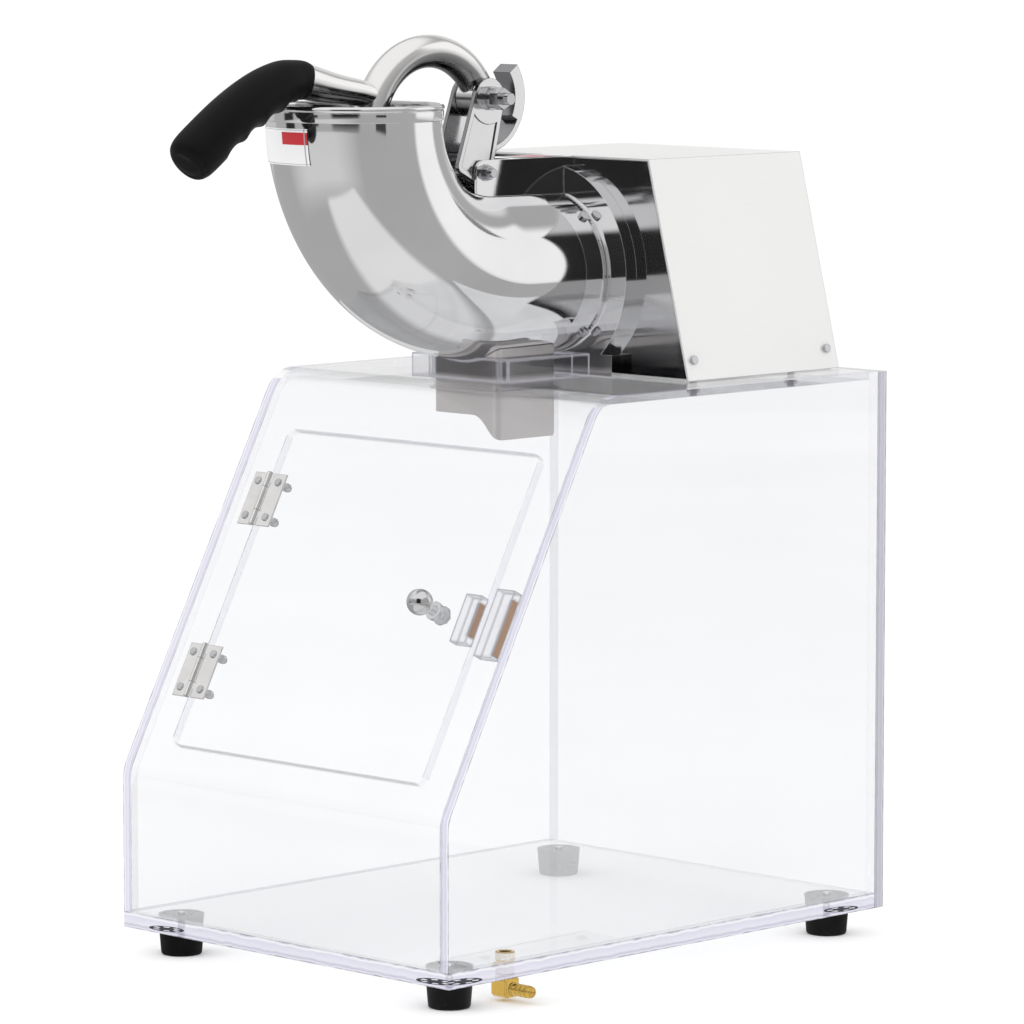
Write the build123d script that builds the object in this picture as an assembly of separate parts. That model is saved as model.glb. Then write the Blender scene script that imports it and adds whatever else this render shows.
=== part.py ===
from build123d import *
import math
import os

# Countertop shaved ice machine: a motor head with a curved feed hopper and a
# press lever, standing on a clear acrylic cabinet that catches the ice.
# Frame: millimetres, +Z up, origin on the floor under the cabinet's centre,
# -Y is the front (door side), +X is the operator's right.

# ---- fits ----------------------------------------------------------------
RUNNING = 0.05   # radial clearance of pins and shafts that turn
SEAT = 0.02      # gap between pieces clamped or pressed together
SLIP = 0.1       # clearance round pieces set in an opening
CUT = 1.0        # how far a cutting tool runs past the piece it cuts

# ---- cabinet -------------------------------------------------------------
FOOT_H = 18.5
CAB_W = 315.0
CAB_D = 420.0
CAB_H = 372.0
KNEE_H = 108.5
TOP_FRONT_Y = -68.5
BEND_R = 28.0
BASE_T = 10.8
SIDE_T = 8.0
BACK_T = 9.0
SHELL_T = 6.0

CAB_BOTTOM = FOOT_H
CAB_TOP = CAB_BOTTOM + CAB_H
BASE_TOP = CAB_BOTTOM + BASE_T
FRONT_Y = -CAB_D / 2
BACK_Y = CAB_D / 2
KNEE_Z = CAB_BOTTOM + KNEE_H
SHELL_HALF = CAB_W / 2 - SIDE_T

# sloping front: unit vector up the slope, outward normal
SLOPE_LEN = math.hypot(TOP_FRONT_Y - FRONT_Y, CAB_TOP - KNEE_Z)
SLOPE = (0.0, (TOP_FRONT_Y - FRONT_Y) / SLOPE_LEN, (CAB_TOP - KNEE_Z) / SLOPE_LEN)
SLOPE_NORMAL = (0.0, -SLOPE[2], SLOPE[1])
SLOPE_PLANE = Plane(origin=(0, FRONT_Y, KNEE_Z), x_dir=(1, 0, 0), z_dir=SLOPE_NORMAL)

FOOT_INSET = 27.5
FOOT_R_TOP = 15.5
FOOT_R_BOTTOM = 13.8
FOOT_EDGE_R = 2.0
FOOT_RECESS_R = 5.0
FOOT_RECESS = 3.0
FOOT_SCREW_R = 2.5
FOOT_SCREW_BITE = 7.0
FOOT_HEAD_R = 4.6
FOOT_HEAD_Z = (3.2, 7.0)
FOOT_POCKETS = 6
FOOT_POCKET_R = 2.8
FOOT_POCKET_RING = 9.8
FOOT_POCKET_DEPTH = 6.0

# ---- drain elbow under the front right corner --------------------------------
DRAIN = (140.0, -141.5, CAB_BOTTOM - 10.0)
DRAIN_BODY = (14.0, 13.0)
DRAIN_BODY_LOW = 6.0
DRAIN_BEVEL = 2.2
DRAIN_STEM_R = 6.2
DRAIN_STEM_RISE = 3.3
DRAIN_BORE_R = 4.0
DRAIN_HOLE_R = 6.6
TAPE_R = 6.55
TAPE_RISE = 2.8
BARB_R = 4.2
BARB_L = 19.0
BARB_BORE_R = 2.4

# ---- door, in slope coordinates (x across, u up the slope, h outward) ------
DOOR_HALF = 120.2
DOOR_U0 = 23.0
DOOR_U1 = 255.0
DOOR_GAP = 0.8
DOOR_CORNER = 6.0
HINGE_X = -(DOOR_HALF + DOOR_GAP / 2)
HINGE_US = (75.6, 202.6)
HINGE_LEN = 38.4
HINGE_LEAF = 15.6
LEAF_T = 1.0
KNUCKLE_R = 2.2
KNUCKLE_H = 2.25
KNUCKLE_SPLIT = 8.6
PIN_R = 1.15
LEAF_GAP = 0.3
KNUCKLE_GAP = 0.15
PIN_PROUD = 0.5
SCREW_DX = 10.0
SCREW_DU = 12.9
SCREW_R = 1.5
SCREW_HEAD_R = 2.9
SCREW_HEAD_H = 1.5
SCREW_HEAD_ROUND = 0.8
SCREW_TAIL = 4.0
CAP_NUT_ACROSS = 5.5
CAP_NUT_H = 3.0
CAP_NUT_DOME_R = 2.6
KNOB_X = 78.6
KNOB_U = 139.2
KNOB_BALL_R = 8.8
KNOB_BALL_H = 16.6
KNOB_NECK_R = 3.4
KNOB_BASE_R = 6.4
KNOB_BASE_H = 2.4
KNOB_STUD_R = 2.0
KNOB_STUD_TAIL = 5.0
KNOB_WASHER_R = 6.6
KNOB_WASHER_T = 1.2
KNOB_NUT_ACROSS = 8.0
KNOB_NUT_H = 3.2
CATCH_T = 7.2
CATCH_EDGE = 0.8
CATCH_STRIP = 2.0
STRIKE_STRIP = 1.6
CATCH_X = (93.6, 108.0)
CATCH_U = (122.5, 156.5)
MAGNET_U = (128.0, 151.5)
STRIKE_X = (119.3, 135.6)
STRIKE_U = (115.0, 162.5)
STRIKE_PLATE_U = (117.0, 156.5)

# ---- machine head ----------------------------------------------------------
AXIS_Z = CAB_BOTTOM + 441.0
HOPPER_Y = -142.3
RIM_TOP = CAB_BOTTOM + 560.5
RIM_R = 59.6
RIM_BAND = 10.8
BEND_Z = CAB_BOTTOM + 555.0
BEND_CENTRE_R = BEND_Z - AXIS_Z
BEND_Y = HOPPER_Y + BEND_CENTRE_R
HOPPER_R = 58.2
BARREL_R = 55.0
WALL = 1.5
FLANGE_Y0 = 40.0
FLANGE_Y1 = 50.0
FLANGE_R = 73.4
COVER_Y0 = 50.0
COVER_Y1 = 200.8
COVER_TOP = CAB_BOTTOM + 519.9
COVER_HALF_TOP = 84.5
COVER_HALF_BOTTOM = 122.0
COVER_T = 1.3
COVER_Z0 = CAB_TOP + 0.6
FRONT_PLATE_T = 2.0
REAR_PANEL_T = 1.5
REAR_SETBACK = 1.0
PLATE_HOLE_R = 20.0
TRAY_T = 2.0
TRAY_HALF = 118.0
TRAY_Y = (53.5, COVER_Y1 - 3.0)
TRAY_BOLTS = [(sx * 100.0, y) for sx in (-1, 1) for y in (78.0, 176.0)]
TRAY_BOLT_R = 2.5
TRAY_HEX = 8.0
TRAY_HEAD_H = 3.5
TRAY_NUT_H = 4.0
TRAY_BOLT_TAIL = 6.0
COVER_SCREWS = [(COVER_Y0 + 8, 14), (COVER_Y1 - 10, 14)]
COVER_SCREW_R = 1.5
COVER_SCREW_HEAD = (3.0, 1.95)
COVER_SCREW_TAIL = 5.0

# barrel flange, shaft seal and barrel screws
FLANGE_FOOT_HALF = 60.0
FLANGE_FOOT_H = 15.0
FLANGE_GAP = 0.5
SPIGOT_Y = 28.0
SPIGOT_T = 5.0
HUB_R = 20.0
HUB_Y = 35.0
SHAFT_HOLE_R = 9.2
SEAL_R = 14.0
SEAL_Y = (35.0, 43.0)
BARREL_SCREWS = (45, 135, 225, 315)
BARREL_SCREW_Y = 34.0
BARREL_SCREW_R = 1.8
BARREL_HEAD_R = 3.6
BARREL_HEAD_H = (0.15, 2.0)

# vents, inlet and switch
VENT_COUNT = 9
VENT_PITCH = 8.0
VENT_HALF_W = 45.0
VENT_HALF_H = 1.8
INLET_X = (44.0, 71.0)
INLET_Z = (CAB_TOP + 18, CAB_TOP + 38)
INLET_LIP = 3.0
INLET_LIP_T = 2.4
INLET_DEPTH = 24.0
INLET_WALL = 2.0
INLET_PINS = ((-7.0, -2.0), (7.0, -2.0), (0.0, 3.0))
INLET_PIN_HALF = (1.0, 2.0)
INLET_PIN_Y = (19.0, 3.0)
SWITCH_Y = 84.0
SWITCH_UP = 96.0
SWITCH_L = 31.0
SWITCH_W = 24.0
SWITCH_BEZEL = 2.2
SWITCH_BODY_INSET = 3.4
SWITCH_HOLE_INSET = 3.0
SWITCH_BODY_DEPTH = 22.0
SWITCH_WELL = (24.0, 15.0, 9.0)
ROCKER_HALF = 10.2
ROCKER_W = 14.0
ROCKER_LOW = -2.5
ROCKER_RIDGE = (1.6, 2.4, 5.6)
ROCKER_PIN_R = 1.5
ROCKER_PIN_L = 2.0

# ---- chute and collar -------------------------------------------------------
CHUTE_HALF = 31.0
CHUTE_Y0 = -40.0
CHUTE_Y1 = 17.0
CHUTE_LOW = CAB_BOTTOM + 332.5
CHUTE_STEP = CAB_BOTTOM + 348.6
COLLAR_HALF = 46.0
COLLAR_Y0 = -45.0
COLLAR_Y1 = 33.0
COLLAR_H = 16.0
COLLAR_T = 8.0
CHUTE_TOP = AXIS_Z - 40.0
CHUTE_R = 5.0
CHUTE_LIP = 3.5
CHUTE_LIP_T = 1.5
CHUTE_LIP_R = 7.0
CHUTE_HOLE_R = 6.0
CHUTE_CURVE = ((6.0, 0.0), (17.0, -4.2), (22.5, -10.0))
CHUTE_NOTCH = (5.0, 6.0)
OUTLET_HALF = 29.5

# ---- motor and cutter -------------------------------------------------------
SHAFT_R = 8.0
RUNNING = 0.05
DISC_Y0 = -44.0
DISC_T = 6.0
DISC_R = 50.0
STUD_R = 5.0
MOTOR_R = 60.0
MOTOR_Y0 = 66.0
MOTOR_Y1 = 160.0
MOTOR_WALL = 3.0
STATOR_Y = (80.0, 146.0)
STATOR_BORE_R = 34.6
ROTOR_R = 34.0
ROTOR_Y = (81.0, 145.0)
BELL_BOSS_R = 23.0
BELL_HOLE_R = 10.0
BEARING_R = 17.5
FRONT_BEARING_Y = (58.0, 69.0)
REAR_BEARING_Y = (157.0, 166.0)
CAPACITOR_R = 17.0
CAPACITOR_X = -84.0
CAPACITOR_Y = (76.0, 146.0)
SHAFT_END = 186.0
STUD_L = 12.0
KNIFE_COUNT = 3
KNIFE_SPAN = (12.0, 46.0)
KNIFE_SLOT_Z = (-8.0, -1.0)
KNIFE_Z = (-3.5, 6.0)
KNIFE_T = 2.0
CUTTER_NUT = (16.0, 8.0)
FAN_Y = (172.0, 184.0)
FAN_HUB_R = 14.0
FAN_BLADES = 8
FAN_BLADE = (36.0, 1.6, 15.0)
FAN_BLADE_AT = 30.0
FAN_PITCH = 28.0

# ---- press lever, positions in the vertical plane (y, z) ---------------------
UPPER = (-28.0, CAB_BOTTOM + 561.0)
LOWER = (-34.5, CAB_BOTTOM + 511.5)
UPPER_R = 4.0
LOWER_R = 3.0
LINK_OUT = 12.0
LINK_IN = 8.8
LINK_TOP_R = 13.5
LINK_LOW_R = 8.5
LINK_TOE = (-52.3, CAB_BOTTOM + 516.8)
LINK_TOE_R = 5.2
LINK_EDGE = 3.2
LINK_RECESS = 0.9
LINK_BOSSES = (17.5, 8.0)
LINK_WEB = ((-24.0, CAB_BOTTOM + 526.3), (-37.0, CAB_BOTTOM + 521.0))
LINK_WEB_R = 3.6
GUARD_HALF = 8.0
GUARD_ARCS = ((28.0, 37.0, -27, 36), (33.5, 37.0, -82, -25))
NECK_OUT = 14.5
NECK_T = 2.0
NECK_Y0 = -43.0
NECK_TOP_Y0 = -9.0
NECK_Y1 = COVER_Y0 - SEAT
NECK_LOW = AXIS_Z + 40.0
NECK_CORNER_R = 7.0
UPPER_HEX = 13.0
LOWER_HEX = 8.0
ARC_CENTRE = (-74.5, CAB_BOTTOM + 538.5)
ARC_R = 54.8
TUBE_R = 11.0
ARC_START = 30.0
ARC_END = 215.0
LUG_HALF = 8.5
LUG_R = 13.0
HANDLE_R = 9.3
PUSH_ANGLE = 41.0
PUSH_CENTRE = 112.0
PUSH_HALF_R = 38.0
PUSH_HALF_X = 45.0
PUSH_T = 4.0
PUSH_BEVEL = 0.8
LEG_L = 34.0
HANDLE_PATH = [
    (-124.0, 563.5), (-138.3, 567.6), (-164.4, 571.6), (-186.0, 576.8), (-197.0, 577.2),
    (-219.5, 570.3), (-243.8, 558.4), (-264.5, 545.1), (-276.0, 537.0)]
GRIP_PATH = [
    (-187.0, 576.8, 11.8), (-195.0, 577.3, 12.7), (-206.0, 575.4, 14.6),
    (-219.5, 570.3, 16.4), (-243.8, 558.4, 16.9), (-264.5, 545.1, 16.8),
    (-280.6, 533.5, 15.4), (-290.0, 526.0, 12.0)]

parts = {}


# ---- helpers ----------------------------------------------------------------
def rod(axis, r, a, b, u=0.0, v=0.0):
    """Cylinder along an axis from a to b; u, v are the other two coordinates."""
    mid, length = (a + b) / 2, b - a
    if axis == "x":
        return Pos(mid, u, v) * Rot(0, 90, 0) * Cylinder(r, length)
    if axis == "y":
        return Pos(u, mid, v) * Rot(90, 0, 0) * Cylinder(r, length)
    return Pos(u, v, mid) * Cylinder(r, length)


def block(x0, x1, y0, y1, z0, z1):
    return Pos((x0 + x1) / 2, (y0 + y1) / 2, (z0 + z1) / 2) * Box(x1 - x0, y1 - y0, z1 - z0)


def on_slope(x0, x1, u0, u1, h0, h1):
    """Box on the sloping front, between two heights above its outer face."""
    box = Box(x1 - x0, u1 - u0, h1 - h0)
    return SLOPE_PLANE * Pos((x0 + x1) / 2, (u0 + u1) / 2, (h0 + h1) / 2) * box


def slope_rod(r, x, u, h0, h1):
    """Cylinder standing on the slope."""
    return SLOPE_PLANE * Pos(x, u, (h0 + h1) / 2) * Cylinder(r, h1 - h0)


def along_slope(r, x, h, u0, u1):
    """Cylinder lying along the slope."""
    return SLOPE_PLANE * Pos(x, (u0 + u1) / 2, h) * Rot(90, 0, 0) * Cylinder(r, u1 - u0)


def hex_prism(across, length):
    return extrude(RegularPolygon(across / 2, 6, major_radius=False), length)


def side_extrude(sketch, x0, x1):
    """Extrude a (y, z) sketch along X."""
    return Pos(x0, 0, 0) * extrude(Plane.YZ * sketch, x1 - x0)


def at_yz(point, shape):
    return Pos(point[0], point[1]) * shape


def group(solids):
    return Compound(children=list(solids))


# ---- cabinet ----------------------------------------------------------------
def cabinet_profile(bottom, rear):
    """Side outline of the cabinet as a (y, z) face with the two bends rounded."""
    pts = [(FRONT_Y, bottom), (rear, bottom), (rear, CAB_TOP), (TOP_FRONT_Y, CAB_TOP),
           (FRONT_Y, KNEE_Z)]
    face = make_face(Polyline(*pts, close=True))
    bends = [v for v in face.vertices() if v.Y > KNEE_Z - 1 and v.X < TOP_FRONT_Y + 1]
    return fillet(bends, BEND_R)


def make_cabinet():
    parts["base_plate"] = block(-CAB_W / 2, CAB_W / 2, FRONT_Y, BACK_Y - BACK_T, CAB_BOTTOM, BASE_TOP)
    parts["back_panel"] = block(-CAB_W / 2, CAB_W / 2, BACK_Y - BACK_T, BACK_Y, CAB_BOTTOM, CAB_TOP)
    side = cabinet_profile(BASE_TOP, BACK_Y - BACK_T)
    parts["right_side_panel"] = side_extrude(side, SHELL_HALF, CAB_W / 2)
    parts["left_side_panel"] = side_extrude(side, -CAB_W / 2, -SHELL_HALF)
    parts["front_shell"] = make_shell()


def make_shell():
    """Front wall, slope and top bent from one sheet, with door and chute openings."""
    spare = 40.0
    outer = cabinet_profile(BASE_TOP - spare, BACK_Y + spare)
    inner = offset(outer, -SHELL_T, kind=Kind.INTERSECTION)
    shell = side_extrude(outer - inner, -SHELL_HALF, SHELL_HALF)
    keep = block(-SHELL_HALF, SHELL_HALF, FRONT_Y - CUT, BACK_Y - BACK_T, BASE_TOP, CAB_TOP + CUT)
    shell = shell & keep
    shell -= door_slab(DOOR_GAP, -SHELL_T - CUT, CUT)
    margin = 2.0
    hole = RectangleRounded(2 * CHUTE_HALF + margin, CHUTE_Y1 - CHUTE_Y0 + margin, CHUTE_HOLE_R)
    hole = extrude(hole, SHELL_T + 2 * CUT)
    shell -= Pos(0, (CHUTE_Y0 + CHUTE_Y1) / 2, CAB_TOP - SHELL_T - CUT) * hole
    for x, u in hinge_screws(-1):
        shell -= slope_rod(SCREW_R + RUNNING, x, u, -SHELL_T - CUT, CUT)
    for x, y in TRAY_BOLTS:
        shell -= rod("z", TRAY_BOLT_R + RUNNING, CAB_TOP - SHELL_T - CUT, CAB_TOP + CUT, x, y)
    return shell


def door_slab(grow, h0, h1):
    """The door's rounded outline, grown by a gap, between two heights."""
    outline = RectangleRounded(2 * (DOOR_HALF + grow), DOOR_U1 - DOOR_U0 + 2 * grow, DOOR_CORNER + grow)
    return SLOPE_PLANE * Pos(0, (DOOR_U0 + DOOR_U1) / 2, h0) * extrude(outline, h1 - h0)


def hinge_screws(side):
    """Screw places of both hinges, on the frame leaf (-1) or the door leaf (+1)."""
    return [(HINGE_X + side * SCREW_DX, u + k * SCREW_DU) for u in HINGE_US for k in (-1, 1)]


def make_foot(x, y):
    """Tapered foot: pockets in its top, a recess for the screw's head in its underside."""
    foot = Pos(x, y, FOOT_H / 2) * Cone(FOOT_R_BOTTOM, FOOT_R_TOP, FOOT_H)
    foot = fillet(foot.edges().sort_by(Axis.Z)[0], FOOT_EDGE_R)
    foot -= rod("z", FOOT_RECESS_R, -CUT, FOOT_RECESS, x, y)
    foot -= rod("z", FOOT_HEAD_R + SLIP, 0, FOOT_HEAD_Z[1], x, y)
    foot -= rod("z", FOOT_SCREW_R + SLIP, 0, FOOT_H + CUT, x, y)
    for k in range(FOOT_POCKETS):
        a = math.radians(360 / FOOT_POCKETS * k)
        px, py = x + FOOT_POCKET_RING * math.cos(a), y + FOOT_POCKET_RING * math.sin(a)
        foot -= rod("z", FOOT_POCKET_R, FOOT_H - FOOT_POCKET_DEPTH, FOOT_H + CUT, px, py)
    return foot


def make_feet():
    feet, screws = [], []
    for sx in (-1, 1):
        for sy in (-1, 1):
            x = sx * (CAB_W / 2 - FOOT_INSET)
            y = sy * (CAB_D / 2 - FOOT_INSET)
            feet.append(make_foot(x, y))
            head = rod("z", FOOT_HEAD_R, *FOOT_HEAD_Z, x, y)
            tip = FOOT_H + FOOT_SCREW_BITE
            screws.append(head + rod("z", FOOT_SCREW_R, FOOT_HEAD_Z[1], tip, x, y))
            parts["base_plate"] -= rod("z", FOOT_SCREW_R + RUNNING, FOOT_H - CUT, tip + SLIP, x, y)
    parts["rubber_feet"] = group(feet)
    parts["foot_screws"] = group(screws)


def make_drain():
    """Brass hose elbow screwed through the base plate at the front right."""
    x, y, z = DRAIN
    parts["base_plate"] -= rod("z", DRAIN_HOLE_R, CAB_BOTTOM - CUT, BASE_TOP + CUT, x, y)
    half_x, half_y = DRAIN_BODY[0] / 2, DRAIN_BODY[1] / 2
    elbow = block(x - half_x, x + half_x, y - half_y, y + half_y, z - DRAIN_BODY_LOW, CAB_BOTTOM - RUNNING)
    elbow = chamfer(elbow.edges().filter_by(Axis.X), DRAIN_BEVEL)
    elbow += rod("z", DRAIN_STEM_R, CAB_BOTTOM - CUT, BASE_TOP + DRAIN_STEM_RISE, x, y)
    barb_start = x + half_x - CUT
    elbow += rod("x", BARB_R, barb_start, barb_start + BARB_L, y, z)
    elbow -= rod("z", DRAIN_BORE_R, z, BASE_TOP + DRAIN_STEM_RISE + CUT, x, y)
    elbow -= rod("x", BARB_BORE_R, x, barb_start + BARB_L + CUT, y, z)
    parts["drain_elbow"] = elbow
    tape = rod("z", TAPE_R, CAB_BOTTOM + FLANGE_GAP, BASE_TOP + TAPE_RISE, x, y)
    parts["thread_tape"] = tape - rod("z", DRAIN_STEM_R + SEAT, CAB_BOTTOM, BASE_TOP + TAPE_RISE + CUT, x, y)


# ---- door -------------------------------------------------------------------
def make_leaf(side, u0):
    """One hinge leaf with its knuckles; side -1 is the frame leaf, +1 the door leaf."""
    u1 = u0 + HINGE_LEN
    mid = (u0 + u1) / 2
    x_in = HINGE_X + side * (KNUCKLE_R + LEAF_GAP)
    x_out = HINGE_X + side * HINGE_LEAF
    leaf = on_slope(min(x_in, x_out), max(x_in, x_out), u0, u1, SEAT, LEAF_T)
    if side < 0:
        split = KNUCKLE_SPLIT + KNUCKLE_GAP
        spans = [(u0, mid - split), (mid + split, u1)]
        bore = PIN_R + SEAT / 2
    else:
        spans = [(mid - KNUCKLE_SPLIT, mid + KNUCKLE_SPLIT)]
        bore = PIN_R + RUNNING + SEAT
    for a, b in spans:
        leaf += on_slope(min(HINGE_X, x_in), max(HINGE_X, x_in), a, b, KNUCKLE_H - KNUCKLE_R, LEAF_T)
        leaf += along_slope(KNUCKLE_R, HINGE_X, KNUCKLE_H, a, b)
    leaf -= along_slope(bore, HINGE_X, KNUCKLE_H, u0 - CUT, u1 + CUT)
    for k in (-1, 1):
        u = mid + k * SCREW_DU
        leaf -= slope_rod(SCREW_R + SLIP, HINGE_X + side * SCREW_DX, u, -CUT, LEAF_T + CUT)
    return leaf


def make_screw(x, u):
    head = slope_rod(SCREW_HEAD_R, x, u, LEAF_T + SEAT, LEAF_T + SCREW_HEAD_H)
    top = head.faces().sort_by(lambda f: f.center().dot(Vector(*SLOPE_NORMAL)))[-1]
    head = fillet(top.edges(), SCREW_HEAD_ROUND)
    return head + slope_rod(SCREW_R, x, u, -SHELL_T - SCREW_TAIL, LEAF_T + SCREW_HEAD_H / 2)


def make_cap_nut(x, u):
    seat = -SHELL_T - SEAT
    nut = SLOPE_PLANE * Pos(x, u, seat - CAP_NUT_H) * hex_prism(CAP_NUT_ACROSS, CAP_NUT_H)
    nut += SLOPE_PLANE * Pos(x, u, seat - CAP_NUT_H) * Sphere(CAP_NUT_DOME_R)
    return nut - slope_rod(SCREW_R + SEAT, x, u, -SHELL_T - SCREW_TAIL - SLIP, 0)


def make_door():
    door = door_slab(0, -SHELL_T, 0)
    for x, u in hinge_screws(1):
        door -= slope_rod(SCREW_R + RUNNING, x, u, -SHELL_T - CUT, CUT)
    door -= slope_rod(KNOB_STUD_R + SLIP, KNOB_X, KNOB_U, -SHELL_T - CUT, CUT)
    parts["door_panel"] = door
    starts = [u - HINGE_LEN / 2 for u in HINGE_US]
    parts["hinge_leaves_frame"] = group(make_leaf(-1, u) for u in starts)
    parts["hinge_leaves_door"] = group(make_leaf(1, u) for u in starts)
    parts["hinge_pins"] = group(
        along_slope(PIN_R, HINGE_X, KNUCKLE_H, u - PIN_PROUD, u + HINGE_LEN + PIN_PROUD) for u in starts)
    for name, side in (("frame", -1), ("door", 1)):
        places = hinge_screws(side)
        screws = [make_screw(x, u) for x, u in places]
        parts[f"{name}_hinge_screws"] = group(screws + [make_cap_nut(x, u) for x, u in places])
    make_knob()
    make_catch()


def make_knob():
    seat = -SHELL_T - SEAT
    knob = SLOPE_PLANE * Pos(KNOB_X, KNOB_U, KNOB_BALL_H) * Sphere(KNOB_BALL_R)
    knob += slope_rod(KNOB_NECK_R, KNOB_X, KNOB_U, KNOB_BASE_H / 2, KNOB_BALL_H - KNOB_BALL_R / 2)
    knob += slope_rod(KNOB_BASE_R, KNOB_X, KNOB_U, SEAT, KNOB_BASE_H)
    knob += slope_rod(KNOB_STUD_R, KNOB_X, KNOB_U, -SHELL_T - KNOB_STUD_TAIL, KNOB_BASE_H / 2)
    parts["door_knob"] = knob
    nut = slope_rod(KNOB_WASHER_R, KNOB_X, KNOB_U, seat - KNOB_WASHER_T, seat)
    hexagon = hex_prism(KNOB_NUT_ACROSS, KNOB_NUT_H + KNOB_WASHER_T / 2)
    nut += SLOPE_PLANE * Pos(KNOB_X, KNOB_U, seat - KNOB_WASHER_T - KNOB_NUT_H) * hexagon
    low = seat - KNOB_WASHER_T - KNOB_NUT_H - CUT
    parts["knob_nut"] = nut - slope_rod(KNOB_STUD_R + SEAT, KNOB_X, KNOB_U, low, 0)


def strip_block(name, strip_name, span_x, span_u, strip, strip_u):
    """Acrylic block under the sheet with a metal strip let into its right-hand face."""
    h1 = -SHELL_T - SEAT
    h0 = h1 - CATCH_T
    whole = on_slope(*span_x, *span_u, h0, h1)
    metal = on_slope(span_x[1] - strip, span_x[1], *strip_u, h0 + CATCH_EDGE, h1 - CATCH_EDGE)
    parts[name] = whole - metal
    parts[strip_name] = metal


def make_catch():
    """Magnet block on the door, strike block on the frame, both on the inside."""
    strip_block("catch_block", "catch_magnet", CATCH_X, CATCH_U, CATCH_STRIP, MAGNET_U)
    strip_block("strike_block", "strike_plate", STRIKE_X, STRIKE_U, STRIKE_STRIP, STRIKE_PLATE_U)


# ---- hopper, barrel, flange ---------------------------------------------------
def elbow_sweep(r_top, r_barrel, z_top, y_end):
    """Round body from the hopper mouth down, round the bend and along the barrel."""
    path = Wire([
        Line((0, HOPPER_Y, z_top), (0, HOPPER_Y, BEND_Z)).edge(),
        arc_yz(BEND_Y, BEND_Z, BEND_CENTRE_R, 180, 270),
        Line((0, BEND_Y, AXIS_Z), (0, y_end, AXIS_Z)).edge()])
    first = Pos(0, HOPPER_Y, z_top) * Circle(r_top)
    last = Plane(origin=(0, y_end, AXIS_Z), z_dir=(0, 1, 0)) * Circle(r_barrel)
    return sweep([first, last], path, multisection=True)


def arc_yz(y, z, r, a0, a1):
    """Arc in the vertical plane; angles from +Y towards +Z."""
    def point(a):
        return (0, y + r * math.cos(math.radians(a)), z + r * math.sin(math.radians(a)))
    return ThreePointArc(point(a0), point((a0 + a1) / 2), point(a1)).edge()


def make_hopper():
    top = RIM_TOP - WALL
    body = elbow_sweep(HOPPER_R, BARREL_R, top, FLANGE_Y0)
    body -= elbow_sweep(HOPPER_R - WALL, BARREL_R - WALL, top, FLANGE_Y0)
    outlet = block(-OUTLET_HALF, OUTLET_HALF, CHUTE_Y0 + WALL, CHUTE_Y1 - WALL, CAB_TOP, AXIS_Z - BARREL_R / 2)
    body -= outlet
    for a in BARREL_SCREWS:
        body -= barrel_rod(a, BARREL_SCREW_R + 2 * SLIP, BARREL_R - 2 * WALL, BARREL_R + 2 * WALL)
    parts["hopper_elbow"] = body
    low = RIM_TOP - RIM_BAND
    ring = rod("z", RIM_R, low, RIM_TOP, 0, HOPPER_Y)
    ring = fillet(ring.edges(), 1.0)
    ring -= rod("z", HOPPER_R + SLIP, low - CUT, top + RUNNING, 0, HOPPER_Y)
    ring -= rod("z", HOPPER_R - WALL, low, RIM_TOP + CUT, 0, HOPPER_Y)
    parts["rim_ring"] = ring


def barrel_rod(angle, r, r0, r1):
    """Radial rod on the barrel at an angle from +X."""
    a = math.radians(angle)
    plane = Plane(origin=(0, BARREL_SCREW_Y, AXIS_Z), z_dir=(math.cos(a), 0, math.sin(a)))
    return plane * Pos(0, 0, (r0 + r1) / 2) * Cylinder(r, r1 - r0)


def make_flange():
    """Cast flange between the barrel and the motor box, standing on the cabinet top."""
    low = CAB_TOP + FLANGE_GAP
    disc = rod("y", FLANGE_R, FLANGE_Y0, FLANGE_Y1, 0, AXIS_Z)
    disc += block(-FLANGE_FOOT_HALF, FLANGE_FOOT_HALF, FLANGE_Y0, FLANGE_Y1, low, CAB_TOP + FLANGE_FOOT_H)
    high = AXIS_Z + FLANGE_R + CUT
    disc &= block(-FLANGE_R - CUT, FLANGE_R + CUT, FLANGE_Y0 - CUT, FLANGE_Y1 + CUT, low, high)
    spigot_r = BARREL_R - WALL - RUNNING
    disc += ring_y(spigot_r, spigot_r - SPIGOT_T, SPIGOT_Y, FLANGE_Y0)
    disc += rod("y", HUB_R, HUB_Y, FLANGE_Y0, 0, AXIS_Z)
    disc -= rod("y", SHAFT_HOLE_R, SPIGOT_Y, FLANGE_Y1 + CUT, 0, AXIS_Z)
    disc -= rod("y", SEAL_R, SEAL_Y[0] - CUT, SEAL_Y[1], 0, AXIS_Z)
    for a in BARREL_SCREWS:
        disc -= barrel_rod(a, BARREL_SCREW_R + RUNNING, spigot_r - SPIGOT_T - CUT, spigot_r + CUT)
    parts["barrel_flange"] = disc
    parts["shaft_seal"] = ring_y(SEAL_R - SEAT, SHAFT_R + RUNNING, SEAL_Y[0], SEAL_Y[1] - SLIP)
    screws = []
    for a in BARREL_SCREWS:
        head = barrel_rod(a, BARREL_HEAD_R, BARREL_R + BARREL_HEAD_H[0], BARREL_R + BARREL_HEAD_H[1])
        screws.append(head + barrel_rod(a, BARREL_SCREW_R, spigot_r - SPIGOT_T, BARREL_R + CUT))
    parts["barrel_screws"] = group(screws)


# ---- chute and collar --------------------------------------------------------
def rounded_tube(width, depth, corner, z0, z1):
    """Upright rounded prism centred on the chute."""
    outline = RectangleRounded(width, depth, corner)
    return Pos(0, (CHUTE_Y0 + CHUTE_Y1) / 2, z0) * extrude(outline, z1 - z0)


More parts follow.
